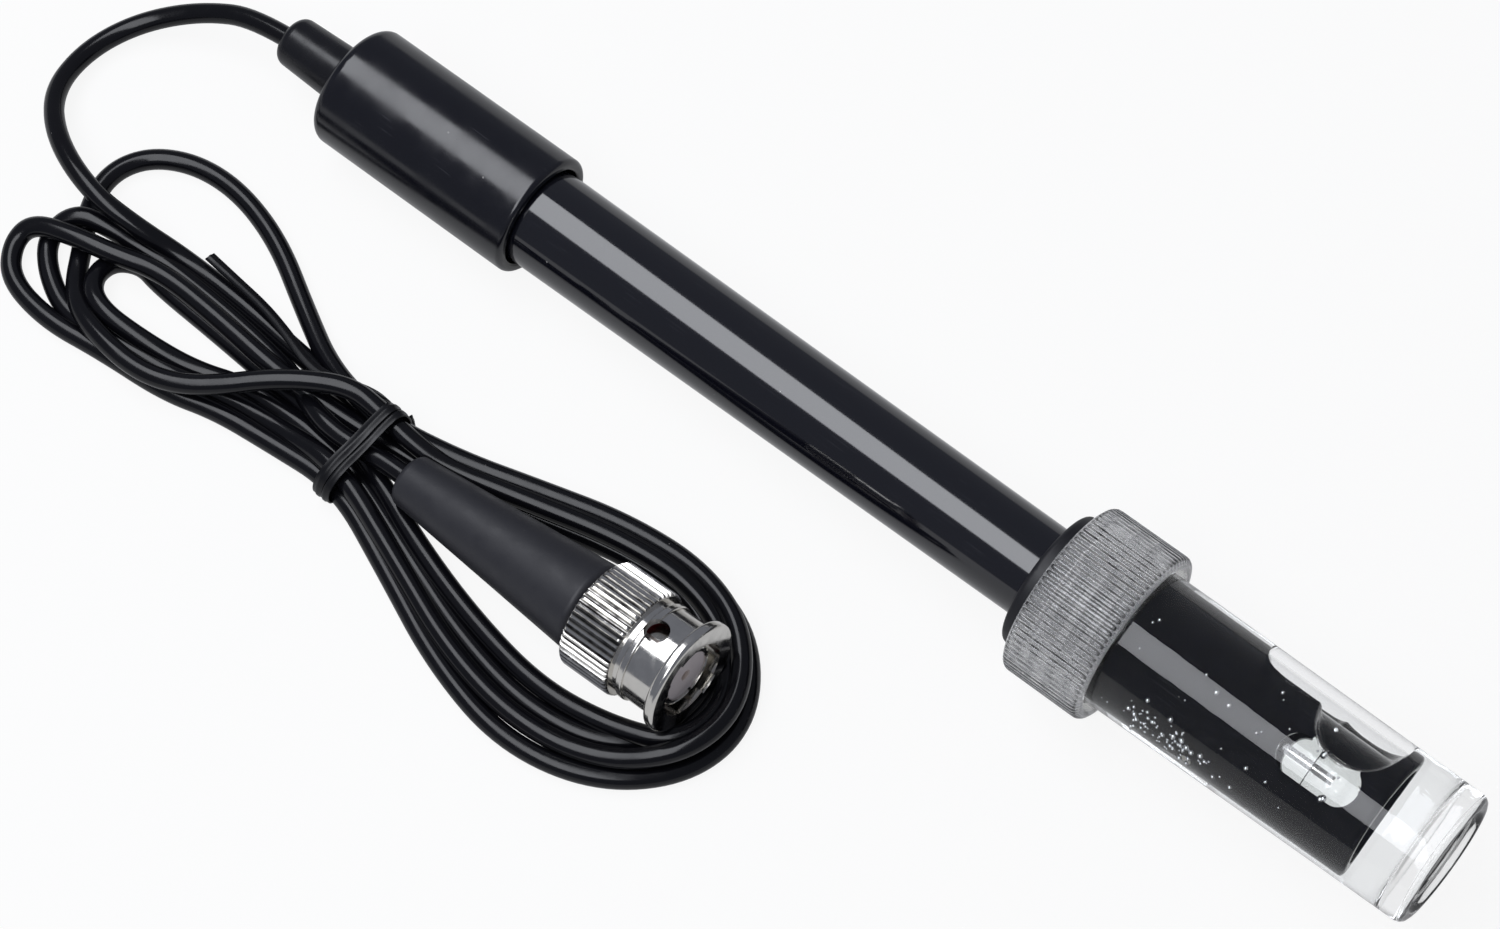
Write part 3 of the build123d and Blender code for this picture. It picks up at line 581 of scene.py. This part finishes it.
# %% [markdown]
# Dirt and shadow collect in the grooves of a knurl, and the clear ribs of the cap bend light away
# at both flanks, which look black. Both are painted into the base colour: the knurl's grooves get a
# dark colour that is partly dirt and partly painted shade, and the cap's flanks get painted shade.
# Grooves are nearer to the axis than crests and flanks are half-way, so a mask of that distance
# finds them all. Flanks are narrow, so theirs is widened.

# %% Painted dirt and shade in grooves
FLANK_WIDENING = 1.6


def paint_groove_dirt_and_shade(made, axis, first, last, root, crest, colour, flanks=False):
    """Paints a dark colour into grooves, for dirt and shade, or into flanks as painted shade, found
    by their distance from an axis between two stations.
    """
    tree = made.node_tree
    source = tree.nodes.new("ShaderNodeTexCoord")
    offset = tree.nodes.new("ShaderNodeVectorMath")
    offset.operation = "SUBTRACT"
    tree.links.new(source.outputs["Object"], offset.inputs[0])
    offset.inputs[1].default_value = axis.start
    along = tree.nodes.new("ShaderNodeVectorMath")
    along.operation = "DOT_PRODUCT"
    tree.links.new(offset.outputs["Vector"], along.inputs[0])
    along.inputs[1].default_value = axis.along
    reach = tree.nodes.new("ShaderNodeVectorMath")
    reach.operation = "LENGTH"
    tree.links.new(offset.outputs["Vector"], reach.inputs[0])
    station = along.outputs["Value"]
    squared = sum_node(tree, "MULTIPLY", reach.outputs["Value"], reach.outputs["Value"])
    rest = sum_node(tree, "SUBTRACT", squared, sum_node(tree, "MULTIPLY", station, station))
    depth = tree.nodes.new("ShaderNodeMapRange")
    depth.inputs["From Min"].default_value = root * MM
    depth.inputs["From Max"].default_value = crest * MM
    depth.inputs["To Min"].default_value = 1.0
    depth.inputs["To Max"].default_value = 0.0
    tree.links.new(sum_node(tree, "SQRT", rest, 0.0), depth.inputs["Value"])
    dark = depth.outputs["Result"]
    if flanks:
        dark = sum_node(tree, "MULTIPLY", sum_node(tree, "PINGPONG", dark, 0.5), 2.0)
        dark = sum_node(tree, "MINIMUM", sum_node(tree, "MULTIPLY", dark, FLANK_WIDENING), 1.0)
    past = sum_node(tree, "GREATER_THAN", station, first * MM)
    short = sum_node(tree, "LESS_THAN", station, last * MM)
    band = sum_node(tree, "MULTIPLY", past, short)
    uneven = use(made, MOTTLE, Scale=600.0, Low=0.55, High=1.0)
    band = sum_node(tree, "MULTIPLY", band, uneven.outputs["Value"])
    # the dark colour goes into Base Color: dirt and painted shade in grooves, painted shade on
    # flanks
    mix_in(made, sum_node(tree, "MULTIPLY", band, dark), colour)


print("groove helper ready")

# %% [markdown]
# The handle is injection moulded and polished, and the shaft is a drawn tube with a keener
# shine. Both are nearly black with a little blue. The shaft's shine is a clear coat, because it has
# to stop: under the storage liquid a surface loses most of its shine, as plastic and water bend
# light nearly alike. Shaders don't know what touches them, so the coat fades out past the bush.

# %% Black gloss finishes
def make_black_gloss(name, low, high, lines, index):
    made = finish(name, (0.0045, 0.0047, 0.0085), low, IOR=index)
    vary_gloss(made, 260.0, low, high)
    hair = use(made, HAIRLINES, Scale=5200.0, Share=lines)
    mix_in(made, hair.outputs["Mask"], (0.09, 0.09, 0.1))
    dust = use(made, SPECKS, Scale=420.0, Share=0.1, Size=0.07)
    mix_in(made, dust.outputs["Mask"], (0.32, 0.31, 0.3))
    skin = use(made, GRAIN, Scale=500.0)
    add_bump(made, skin.outputs["Height"], 0.08, 0.02)
    return made


def coat_until(made, start, end, least):
    """A clear coat that fades along X between two places in metres."""
    shader_of(made).inputs["Coat IOR"].default_value = 1.72
    shader_of(made).inputs["Coat Roughness"].default_value = 0.08
    tree = made.node_tree
    source = tree.nodes.new("ShaderNodeTexCoord")
    split = tree.nodes.new("ShaderNodeSeparateXYZ")
    fade = tree.nodes.new("ShaderNodeMapRange")
    fade.inputs["From Min"].default_value = start
    fade.inputs["From Max"].default_value = end
    fade.inputs["To Min"].default_value = 1.0
    fade.inputs["To Max"].default_value = least
    tree.links.new(source.outputs["Object"], split.inputs["Vector"])
    tree.links.new(split.outputs["X"], fade.inputs["Value"])
    tree.links.new(fade.outputs["Result"], shader_of(made).inputs["Coat Weight"])


HANDLE_GLOSS = make_black_gloss("handle_gloss", 0.13, 0.24, 0.22, 1.6)
SHAFT_GLOSS = make_black_gloss("shaft_gloss", 0.08, 0.13, 0.16, 1.1)
coat_until(SHAFT_GLOSS, ELECTRODE.at(112.0).x, ELECTRODE.at(121.0).x, 0.05)
print("finishes:", HANDLE_GLOSS.name, SHAFT_GLOSS.name)

# %% [markdown]
# Gland, bush and boot are soft rubber with a dull skin. The cable has a smooth jacket that
# still takes a thin line of light along each strand. The tie is a flat ribbon of plastic.

# %% Rubber, jacket and ribbon
def make_rubber(name, colour, low, high, grain, depth, dust_share, index=1.48):
    made = finish(name, colour, low, IOR=index)
    vary_gloss(made, 420.0, low, high)
    skin = use(made, GRAIN, Scale=grain)
    add_bump(made, skin.outputs["Height"], 0.35, depth)
    dust = use(made, SPECKS, Scale=900.0, Share=dust_share, Size=0.12)
    mix_in(made, dust.outputs["Mask"], (0.16, 0.155, 0.15))
    return made


BLACK_RUBBER = make_rubber("black_rubber", (0.0095, 0.0095, 0.0125), 0.4, 0.56, 2600.0, 0.03, 0.1)
BOOT_RUBBER = make_rubber("boot_rubber", (0.025, 0.025, 0.03), 0.4, 0.56, 2600.0, 0.03, 0.1)
GLAND_RUBBER = make_rubber("gland_rubber", (0.008, 0.008, 0.0105), 0.2, 0.3, 2000.0, 0.012, 0.08)
GREY_RUBBER = make_rubber("grey_rubber", (0.16, 0.16, 0.17), 0.5, 0.65, 2600.0, 0.03, 0.08)
CABLE_JACKET = make_rubber(
    "cable_jacket", (0.0042, 0.0042, 0.0058), 0.13, 0.22, 1100.0, 0.006, 0.04, index=1.41
)
TIE_PLASTIC = make_rubber(
    "tie_plastic", (0.0045, 0.0045, 0.006), 0.28, 0.42, 1500.0, 0.01, 0.05, index=1.42
)
print("finishes:", BLACK_RUBBER.name, GREY_RUBBER.name, CABLE_JACKET.name, TIE_PLASTIC.name)

# %% [markdown]
# The bottle is clear plastic, the stem is blown glass and the storage liquid is strong salt
# solution. Clear things are made by their shapes: light bends at every wall. Faint waves of the
# moulding go into the bump, and transmission stays a plain number. The cap is a little milky, so
# its number is less than 1. A wall with liquid on it hardly reflects, so the wetted inside and
# the liquid have a black specular tint.

# %% Clear finishes
def make_clear(name, colour, roughness, index, waves):
    made = finish(name, colour, roughness, IOR=index, Transmission_Weight=1.0)
    if waves:
        skin = use(made, MOTTLE, Scale=150.0, Low=0.0, High=1.0)
        add_bump(made, skin.outputs["Value"], 0.25, waves)
    return made


CLEAR_PLASTIC = make_clear("clear_plastic", (0.965, 0.97, 0.975), 0.015, 1.53, 0.03)
RIBBED_PLASTIC = make_clear("ribbed_plastic", (0.985, 0.987, 0.99), 0.015, 1.49, 0.0)
shader_of(RIBBED_PLASTIC).inputs["Transmission Weight"].default_value = 0.79
# painted shade: near-black colour on both flanks of each clear rib, where the ribs bend light away
paint_groove_dirt_and_shade(
    RIBBED_PLASTIC, ELECTRODE, 109.3, 119.7, 10.95, 11.3, (0.003, 0.003, 0.004), flanks=True
)
BLOWN_GLASS = make_clear("blown_glass", (0.97, 0.985, 0.98), 0.0, 1.51, 0.0)
WET_PLASTIC = make_clear("wet_plastic", (0.965, 0.97, 0.975), 0.015, 1.53, 0.0)
LIQUID = make_clear("storage_liquid", (0.985, 0.99, 0.99), 0.0, 1.45, 0.0)
for made in (WET_PLASTIC, LIQUID):
    shader_of(made).inputs["Specular Tint"].default_value = (0.0, 0.0, 0.0, 1.0)
print("clear:", CLEAR_PLASTIC.name, BLOWN_GLASS.name, LIQUID.name)

# %% [markdown]
# The plug's sleeve and body are turned brass with bright nickel, worn a little by fingers. The
# pin is gilt, the ring and the washer are spring steel, and the wires inside are silver.

# %% Metals
def make_metal(name, colour, low, high, lines):
    made = finish(name, colour, low, Metallic=1.0)
    vary_gloss(made, 900.0, low, high)
    hair = use(made, HAIRLINES, Scale=9000.0, Share=lines)
    add_bump(made, hair.outputs["Mask"], 0.25, 0.01)
    tarnish = use(made, MOTTLE, Scale=500.0, Low=0.0, High=0.35)
    mix_in(made, tarnish.outputs["Value"], tuple(0.72 * part for part in colour))
    return made


NICKEL = make_metal("nickel", (0.80, 0.78, 0.74), 0.08, 0.2, 0.5)
KNURLED_NICKEL = make_metal("knurled_nickel", (0.80, 0.78, 0.74), 0.08, 0.2, 0.5)
# dark colour in the knurl's grooves: partly dirt, partly painted shade
paint_groove_dirt_and_shade(KNURLED_NICKEL, PLUG, 29.56, 36.66, 6.78, 7.0, (0.03, 0.028, 0.027))
SPRING_STEEL = make_metal("spring_steel", (0.55, 0.55, 0.56), 0.2, 0.35, 0.4)
GILT_BRASS = make_metal("gilt_brass", (0.93, 0.70, 0.33), 0.12, 0.24, 0.3)
SILVER_WIRE = make_metal("silver_wire", (0.82, 0.80, 0.77), 0.2, 0.35, 0.3)
print("metals:", NICKEL.name, SPRING_STEEL.name, GILT_BRASS.name, SILVER_WIRE.name)

# %% Small parts' finishes
WHITE_PLASTIC = make_rubber("white_plastic", (0.74, 0.66, 0.64), 0.32, 0.45, 1600.0, 0.01, 0.03)
WHITE_CERAMIC = make_rubber("white_ceramic", (0.8, 0.78, 0.73), 0.6, 0.8, 5000.0, 0.04, 0.1)
RED_SILICONE = make_rubber("red_silicone", (0.42, 0.025, 0.035), 0.35, 0.5, 1800.0, 0.02, 0.04)
WEARS = {
    "handle_cap": HANDLE_GLOSS, "shaft_tube": SHAFT_GLOSS,
    "cable_gland": GLAND_RUBBER, "cap_seal": BLACK_RUBBER, "plug_boot": BOOT_RUBBER,
    "top_bung": GREY_RUBBER, "stem_seal": GREY_RUBBER, "core_lead": WHITE_PLASTIC,
    "junction_frit": WHITE_CERAMIC, "glass_stem": BLOWN_GLASS,
    "measuring_wire": SILVER_WIRE, "reference_wire": SILVER_WIRE,
    "plug_ferrule": NICKEL, "plug_body": NICKEL, "coupling_sleeve": KNURLED_NICKEL,
    "plug_gasket": RED_SILICONE, "plug_insulator": WHITE_PLASTIC, "plug_pin": GILT_BRASS,
    "retaining_ring": SPRING_STEEL, "spring_washer": SPRING_STEEL,
}
for name, made in WEARS.items():
    NODES[name].data.materials.clear()
    NODES[name].data.materials.append(made)
cable.data.materials.append(CABLE_JACKET)
print("dressed", len(WEARS), "solids")

# %% [markdown]
# Clear pieces need finer walls than solids carry, because every facet shows twice. A profile of
# stations and radii is spun about the axis in many steps. The screw thread is a ridge swept along a
# helix. Where it overlaps the wall by a hair, light bends as it would in one piece.

# %% Helpers for turned meshes
def keep_mesh(name, form, sharp_degrees):
    """Turns a bmesh into a smooth-shaded object with sharp edges above an angle."""
    mesh = bpy.data.meshes.new(name)
    bmesh.ops.recalc_face_normals(form, faces=form.faces[:])
    form.to_mesh(mesh)
    form.free()
    for face in mesh.polygons:
        face.use_smooth = True
    mesh.set_sharp_from_angle(angle=math.radians(sharp_degrees))
    made = bpy.data.objects.new(name, mesh)
    bpy.context.scene.collection.objects.link(made)
    return made


def spin(form, axis, profile, steps, closed=False, shape=None):
    """Adds a surface of revolution to a bmesh. shape may change a radius by station and angle."""
    rings = []
    for station, radius in profile:
        if radius == 0:
            rings.append([form.verts.new(axis.at(station))])
            continue
        ring = []
        for index in range(steps):
            angle = 2 * math.pi * index / steps
            here = shape(station, radius, angle) if shape else radius
            ring.append(form.verts.new(axis.at(station, here, angle)))
        rings.append(ring)
    pairs = list(zip(rings, rings[1:])) + ([(rings[-1], rings[0])] if closed else [])
    for first, second in pairs:
        for index in range(steps):
            corners = []
            for ring, places in ((first, (index, index + 1)), (second, (index + 1, index))):
                for place in places:
                    corner = ring[place % len(ring)]
                    if corner not in corners:
                        corners.append(corner)
            form.faces.new(corners)


def join_rows(form, rows):
    """Adds the faces between rows of corners, and one at either end."""
    count = len(rows[0])
    for first, second in zip(rows, rows[1:]):
        for index in range(count):
            nxt = (index + 1) % count
            form.faces.new((first[index], first[nxt], second[nxt], second[index]))
    form.faces.new(rows[0])
    form.faces.new(rows[-1][::-1])


def ridge(form, axis, start, turns, pitch, base, section, steps=96):
    """Adds a helical ridge with tapered ends. section lists (along, out) in millimetres."""
    total = int(turns * steps)
    taper = 0.12 * steps
    rows = []
    for index in range(total + 1):
        angle = 2 * math.pi * index / steps
        ease = min(1.0, index / taper, (total - index) / taper)
        row = []
        for along, out in section:
            station = start + pitch * index / steps + along * (0.35 + 0.65 * ease)
            row.append(form.verts.new(axis.at(station, base + out * ease, angle)))
        rows.append(row)
    join_rows(form, rows)


print("turning helpers ready")

# %% Soaking bottle
CAP_END = 120.0
BOTTLE_END = 163.4
WETTED = (115.0, 160.2)
NECK_RADIUS = 9.0
END_RADIUS = 8.65
WALL = 1.2
THREAD_PITCH = 2.5


def bottle_radius(station):
    """Outside radius of the bottle, straight in the cap and then slightly tapered."""
    share = max(0.0, (station - CAP_END) / (BOTTLE_END - CAP_END))
    return NECK_RADIUS + (END_RADIUS - NECK_RADIUS) * share


bottle_profile = [
    (162.6, 0), (162.6, 3.2), (162.6, 6.0), (162.68, 6.42), (162.95, 6.78), (163.25, 6.95),
    (163.38, 7.15), (163.4, 7.4), (163.36, 7.8), (163.18, 8.22), (162.85, 8.5), (162.4, 8.64),
]
bottle_profile += [(float(s), bottle_radius(s)) for s in range(161, 112, -3)]
bottle_profile += [
    (112.6, 9.0), (112.38, 8.88), (112.3, 8.6), (112.3, 8.2), (112.38, 7.92), (112.6, 7.8),
]
bottle_profile += [(float(s), bottle_radius(s) - WALL) for s in range(115, 158, 3)]
bottle_profile += [
    (158.4, 7.36), (159.2, 7.0), (159.75, 6.4), (159.97, 5.6), (160.0, 4.6), (160.0, 2.4),
    (160.0, 0),
]
neck_section = [
    (-0.62, -0.04), (-0.34, 0.42), (-0.16, 0.55), (0.16, 0.55), (0.34, 0.42), (0.62, -0.04),
]

bottle_form = bmesh.new()
spin(bottle_form, ELECTRODE, bottle_profile, 160)
ridge(bottle_form, ELECTRODE, 113.2, 2.4, THREAD_PITCH, NECK_RADIUS, neck_section)
bottle = keep_mesh("soaking_bottle", bottle_form, 55)
bottle.data.materials.append(CLEAR_PLASTIC)
bottle.data.materials.append(WET_PLASTIC)
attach(bottle, "bottle")
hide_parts("soak_bottle")
print("bottle:", len(bottle.data.polygons), "faces")

# %% Wetted inside of the bottle
wetted = 0
for face in bottle.data.polygons:
    off = face.center - ELECTRODE.start
    station = off.dot(ELECTRODE.along)
    from_axis = (off - ELECTRODE.along * station).length
    inside = from_axis < (bottle_radius(station / MM) - WALL / 2) * MM
    if inside and WETTED[0] * MM < station < WETTED[1] * MM:
        face.material_index = 1
        wetted += 1
print("wetted faces:", wetted)

# %% [markdown]
# The cap's fine ribs are what the fingers hold. On the real one each rib has a round crest, so
# the radius swings gently between root and crest. The ribs run out in the rounded ends.

# %% Ribbed screw cap
CAP_RIBS = 80
RIB_HEIGHT = 0.35
RIB_FOOT = 0.42
RIB_FLANK = 0.28
RUN_OUT = 0.6
CREST = 11.3
CAP_BORE = 9.75


def rib_shape(station, radius, angle):
    """Lowers the outside between the ribs."""
    if radius < CREST - RUN_OUT:
        return radius
    place = abs((angle * CAP_RIBS / (2 * math.pi) + 0.5) % 1.0 - 0.5)
    side = min(1.0, max(0.0, (RIB_FOOT - place) / RIB_FLANK))
    ease = min(1.0, max(0.0, (radius - CREST + RUN_OUT) / 0.5))
    return radius - RIB_HEIGHT * ease * (1 - side * side * (3 - 2 * side))


cap_profile = [
    (109.0, 7.65), (109.0, 9.4), (109.0, 10.3), (109.06, 10.7), (109.25, 11.05), (109.6, 11.26),
    (110.0, CREST), (112.5, CREST), (114.5, CREST), (116.5, CREST), (119.0, CREST), (119.4, 11.26),
    (119.75, 11.05), (119.94, 10.7), (120.0, 10.35), (120.0, 9.98), (119.9, 9.82),
    (119.7, CAP_BORE), (116.0, CAP_BORE), (112.0, CAP_BORE), (111.3, CAP_BORE),
    (111.08, 9.6), (111.0, 9.3), (111.0, 7.8), (110.9, 7.65),
]
cap_section = [
    (-0.5, 0.04), (-0.26, -0.4), (-0.12, -0.5), (0.12, -0.5), (0.26, -0.4), (0.5, 0.04),
]
cap_form = bmesh.new()
spin(cap_form, ELECTRODE, cap_profile, CAP_RIBS * 12, closed=True, shape=rib_shape)
ridge(cap_form, ELECTRODE, 111.95, 2.6, THREAD_PITCH, CAP_BORE, cap_section)
cap = keep_mesh("ribbed_cap", cap_form, 60)
cap.data.materials.append(RIBBED_PLASTIC)
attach(cap, "cap")
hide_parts("screw_cap")
print("cap:", len(cap.data.polygons), "faces")

# %% [markdown]
# The bottle is nearly full. Liquid against the wall makes a lens that spreads the black shaft
# over the whole width, and where an air pocket lies the shaft is seen at its true size. So the
# liquid is one skin that overlaps the bottle's wall by a hair and dips down to the shaft in the
# pocket. It has no hole for the shaft, which stands inside it. A bubble under water throws back
# nearly all the light that meets it, so a tiny silvery ball stands in for each one.

# %% Storage liquid with its air pocket
LIQUID_TOP = 114.9
LIQUID_FOOT = 157.6
LIQUID_ROWS = 150
LIQUID_STEPS = 240
OVERLAP = 0.03
FILM = 0.06
POCKET_EDGE = 0.22
POCKETS = [
    (147.8, -46.0, 5.7, 54.0, 2.4),
    (139.6, -66.0, 5.9, 36.0, 4.0),
]
SHAFT_LIP, SHAFT_TIP = 30.5, 154.9
LIP_RADIUS, TIP_RADIUS = 6.35, 5.65


def shaft_radius(station):
    """Outside radius of the tapered shaft."""
    return LIP_RADIUS + (TIP_RADIUS - LIP_RADIUS) * (station - SHAFT_LIP) / (SHAFT_TIP - SHAFT_LIP)


def liquid_radius(station, angle):
    """Skin of the liquid: the bottle's inside, or a film on the shaft in the air pocket."""
    full = bottle_radius(station) - WALL + OVERLAP
    depth = 0.0
    degrees = (math.degrees(angle) + 180.0) % 360.0 - 180.0
    for middle_station, middle_angle, half_length, half_angle, power in POCKETS:
        off = abs((station - middle_station) / half_length) ** power
        off = (off + abs((degrees - middle_angle) / half_angle) ** power) ** (1 / power)
        edge = min(1.0, max(0.0, (1.0 - off) / POCKET_EDGE))
        depth = max(depth, edge * edge * (3 - 2 * edge))
    film = shaft_radius(station) + FILM
    return full + (film - full) * depth


liquid_profile = [(LIQUID_TOP, 0.0)]
for index in range(LIQUID_ROWS + 1):
    station = LIQUID_TOP + (LIQUID_FOOT - LIQUID_TOP) * index / LIQUID_ROWS
    liquid_profile.append((station, 1.0))
liquid_form = bmesh.new()
spin(
    liquid_form, ELECTRODE, liquid_profile, LIQUID_STEPS,
    shape=lambda station, radius, angle: liquid_radius(station, angle),
)
floor_profile = [
    (LIQUID_FOOT, 7.5), (158.42, 7.39), (159.23, 7.02), (159.78, 6.42), (160.0, 5.6), (160.03, 4.6),
    (160.03, 0),
]
spin(liquid_form, ELECTRODE, floor_profile, LIQUID_STEPS)
bmesh.ops.remove_doubles(liquid_form, verts=liquid_form.verts[:], dist=0.00006)
print("liquid skin:", len(liquid_form.faces), "faces")
liquid = keep_mesh("storage_liquid", liquid_form, 180)
liquid.data.materials.append(LIQUID)
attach(liquid, "bottle")

# %% Bubbles
SILVERY = finish("bubble_silver", (0.9, 0.92, 0.95), 0.06, Metallic=1.0)
vary_gloss(SILVERY, 900.0, 0.04, 0.14)
BUBBLES = 110
FIRST_BUBBLE = 121.2
FROM_WALL = 0.1
chance = random.Random(5)
bubble_form = bmesh.new()
for index in range(BUBBLES):
    size = 0.13 + 0.3 * chance.random() ** 2
    if index % 5:
        station, angle = chance.gauss(130.3, 3.8), chance.gauss(80.0, 9.0)
    else:
        station, angle = chance.uniform(121.5, 150.0), chance.uniform(-20.0, 75.0)
    station = max(station, FIRST_BUBBLE)
    out = bottle_radius(station) - WALL - size - FROM_WALL
    place = Matrix.Translation(ELECTRODE.at(station, out, math.radians(angle)))
    bmesh.ops.create_icosphere(bubble_form, subdivisions=2, radius=size * MM, matrix=place)
bubbles = keep_mesh("air_bubbles", bubble_form, 180)
bubbles.data.materials.append(SILVERY)
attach(bubbles, "bottle")
print("bubbles:", len(bubbles.data.polygons), "faces")

# %% [markdown]
# The twist tie is a flat plastic ribbon with a wire in its middle. It goes twice round the
# hank's waist, its ends are twisted together and one long end lies on the bundle. A ribbon needs
# a line to follow and, at each point, the way it faces, so both are smooth lines of equal length.

# %% Helper for ribbons
TIE_WIDTH = 1.5
RIBBON_HALF = 0.26
RIBBON = [
    (-0.5, 0.0), (-0.46, 0.5), (-0.2, 0.55), (-0.1, 1.0), (0.1, 1.0), (0.2, 0.55), (0.46, 0.5),
    (0.5, 0.0), (0.46, -0.5), (0.2, -0.55), (0.1, -1.0), (-0.1, -1.0), (-0.2, -0.55), (-0.46, -0.5),
]


def ribbon(name, points, facing):
    """Sweeps the flat section along points in millimetres, facing the given way at each."""
    lines = [smooth_line(name + "_line", points), smooth_line(name + "_facing", facing)]
    path, ways = (points_on(line) for line in lines)
    for line in lines:
        bpy.data.objects.remove(line)
    form = bmesh.new()
    rows = []
    for index, (point, way) in enumerate(zip(path, ways)):
        ahead = path[min(index + 1, len(path) - 1)] - path[max(index - 1, 0)]
        across = ahead.cross(way).normalized()
        out = across.cross(ahead).normalized()
        row = []
        for side, height in RIBBON:
            corner = across * side * TIE_WIDTH + out * height * RIBBON_HALF
            row.append(form.verts.new(point + corner * MM))
        rows.append(row)
    join_rows(form, rows)
    return keep_mesh(name, form, 50)


print("ribbon helper ready")

# %% Twist tie
ROUND_THE_WAIST = [
    (-29.3, 2.6), (-29.2, 5.3), (-30.2, 8.1), (-32.8, 7.9), (-36.2, 6.8), (-40.2, 6.3),
    (-42.5, 4.4), (-42.8, 1.6), (-40.6, 0.36), (-35.5, 0.32), (-30.8, 0.36), (-29.4, 1.2),
]
WAIST_MIDDLE = (-43.8, -35.4, 3.8)
WAIST_HALF = (7.0, 4.0)
TIE_LEAN = 0.11
SECOND_TURN_LIFT = 0.3
STUB_POINTS = [(-42.4, -28.4, 3.0), (-42.7, -28.8, 2.8), (-42.9, -29.1, 2.7)]
STUB_FACING = [(0.3, 0.2, 1.0), (0.2, 0.4, 1.0), (0.1, 1.0, 0.5)]
TAIL_POINTS = [
    (-45.2, -28.8, 4.4), (-48.0, -29.6, 5.6), (-51.0, -30.6, 5.4), (-54.2, -31.3, 4.8),
    (-57.2, -31.0, 4.3), (-61.8, -29.5, 3.6), (-66.3, -28.4, 3.2), (-71.3, -27.9, 3.1),
    (-76.2, -27.4, 3.0),
]
TAIL_FACING = [
    (0.2, 1.0, 0.3), (0.1, 0.6, 1.0), (0.0, 0.3, 1.0), (0.0, 0.2, 1.0), (0.0, 0.2, 1.0),
    (0.0, 0.4, 1.0), (0.0, 0.4, 1.0), (0.0, 0.4, 1.0), (0.0, 0.3, 1.0),
]
tie_points = list(STUB_POINTS)
tie_facing = list(STUB_FACING)
for turn in range(2):
    for y, z in ROUND_THE_WAIST:
        across, up = y - WAIST_MIDDLE[1], z - WAIST_MIDDLE[2]
        lift = SECOND_TURN_LIFT * turn if z > 4 else 0.0
        tie_points.append((WAIST_MIDDLE[0] + TIE_LEAN * across + (0.5 - turn), y, z + lift))
        tie_facing.append((0.0, across / WAIST_HALF[0], up / WAIST_HALF[1]))
tie = ribbon("twist_tie_ribbon", tie_points + TAIL_POINTS, tie_facing + TAIL_FACING)
tie.data.materials.append(TIE_PLASTIC)
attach(tie, "electrode")
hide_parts("twist_tie")
print("tie:", len(tie.data.polygons), "faces")
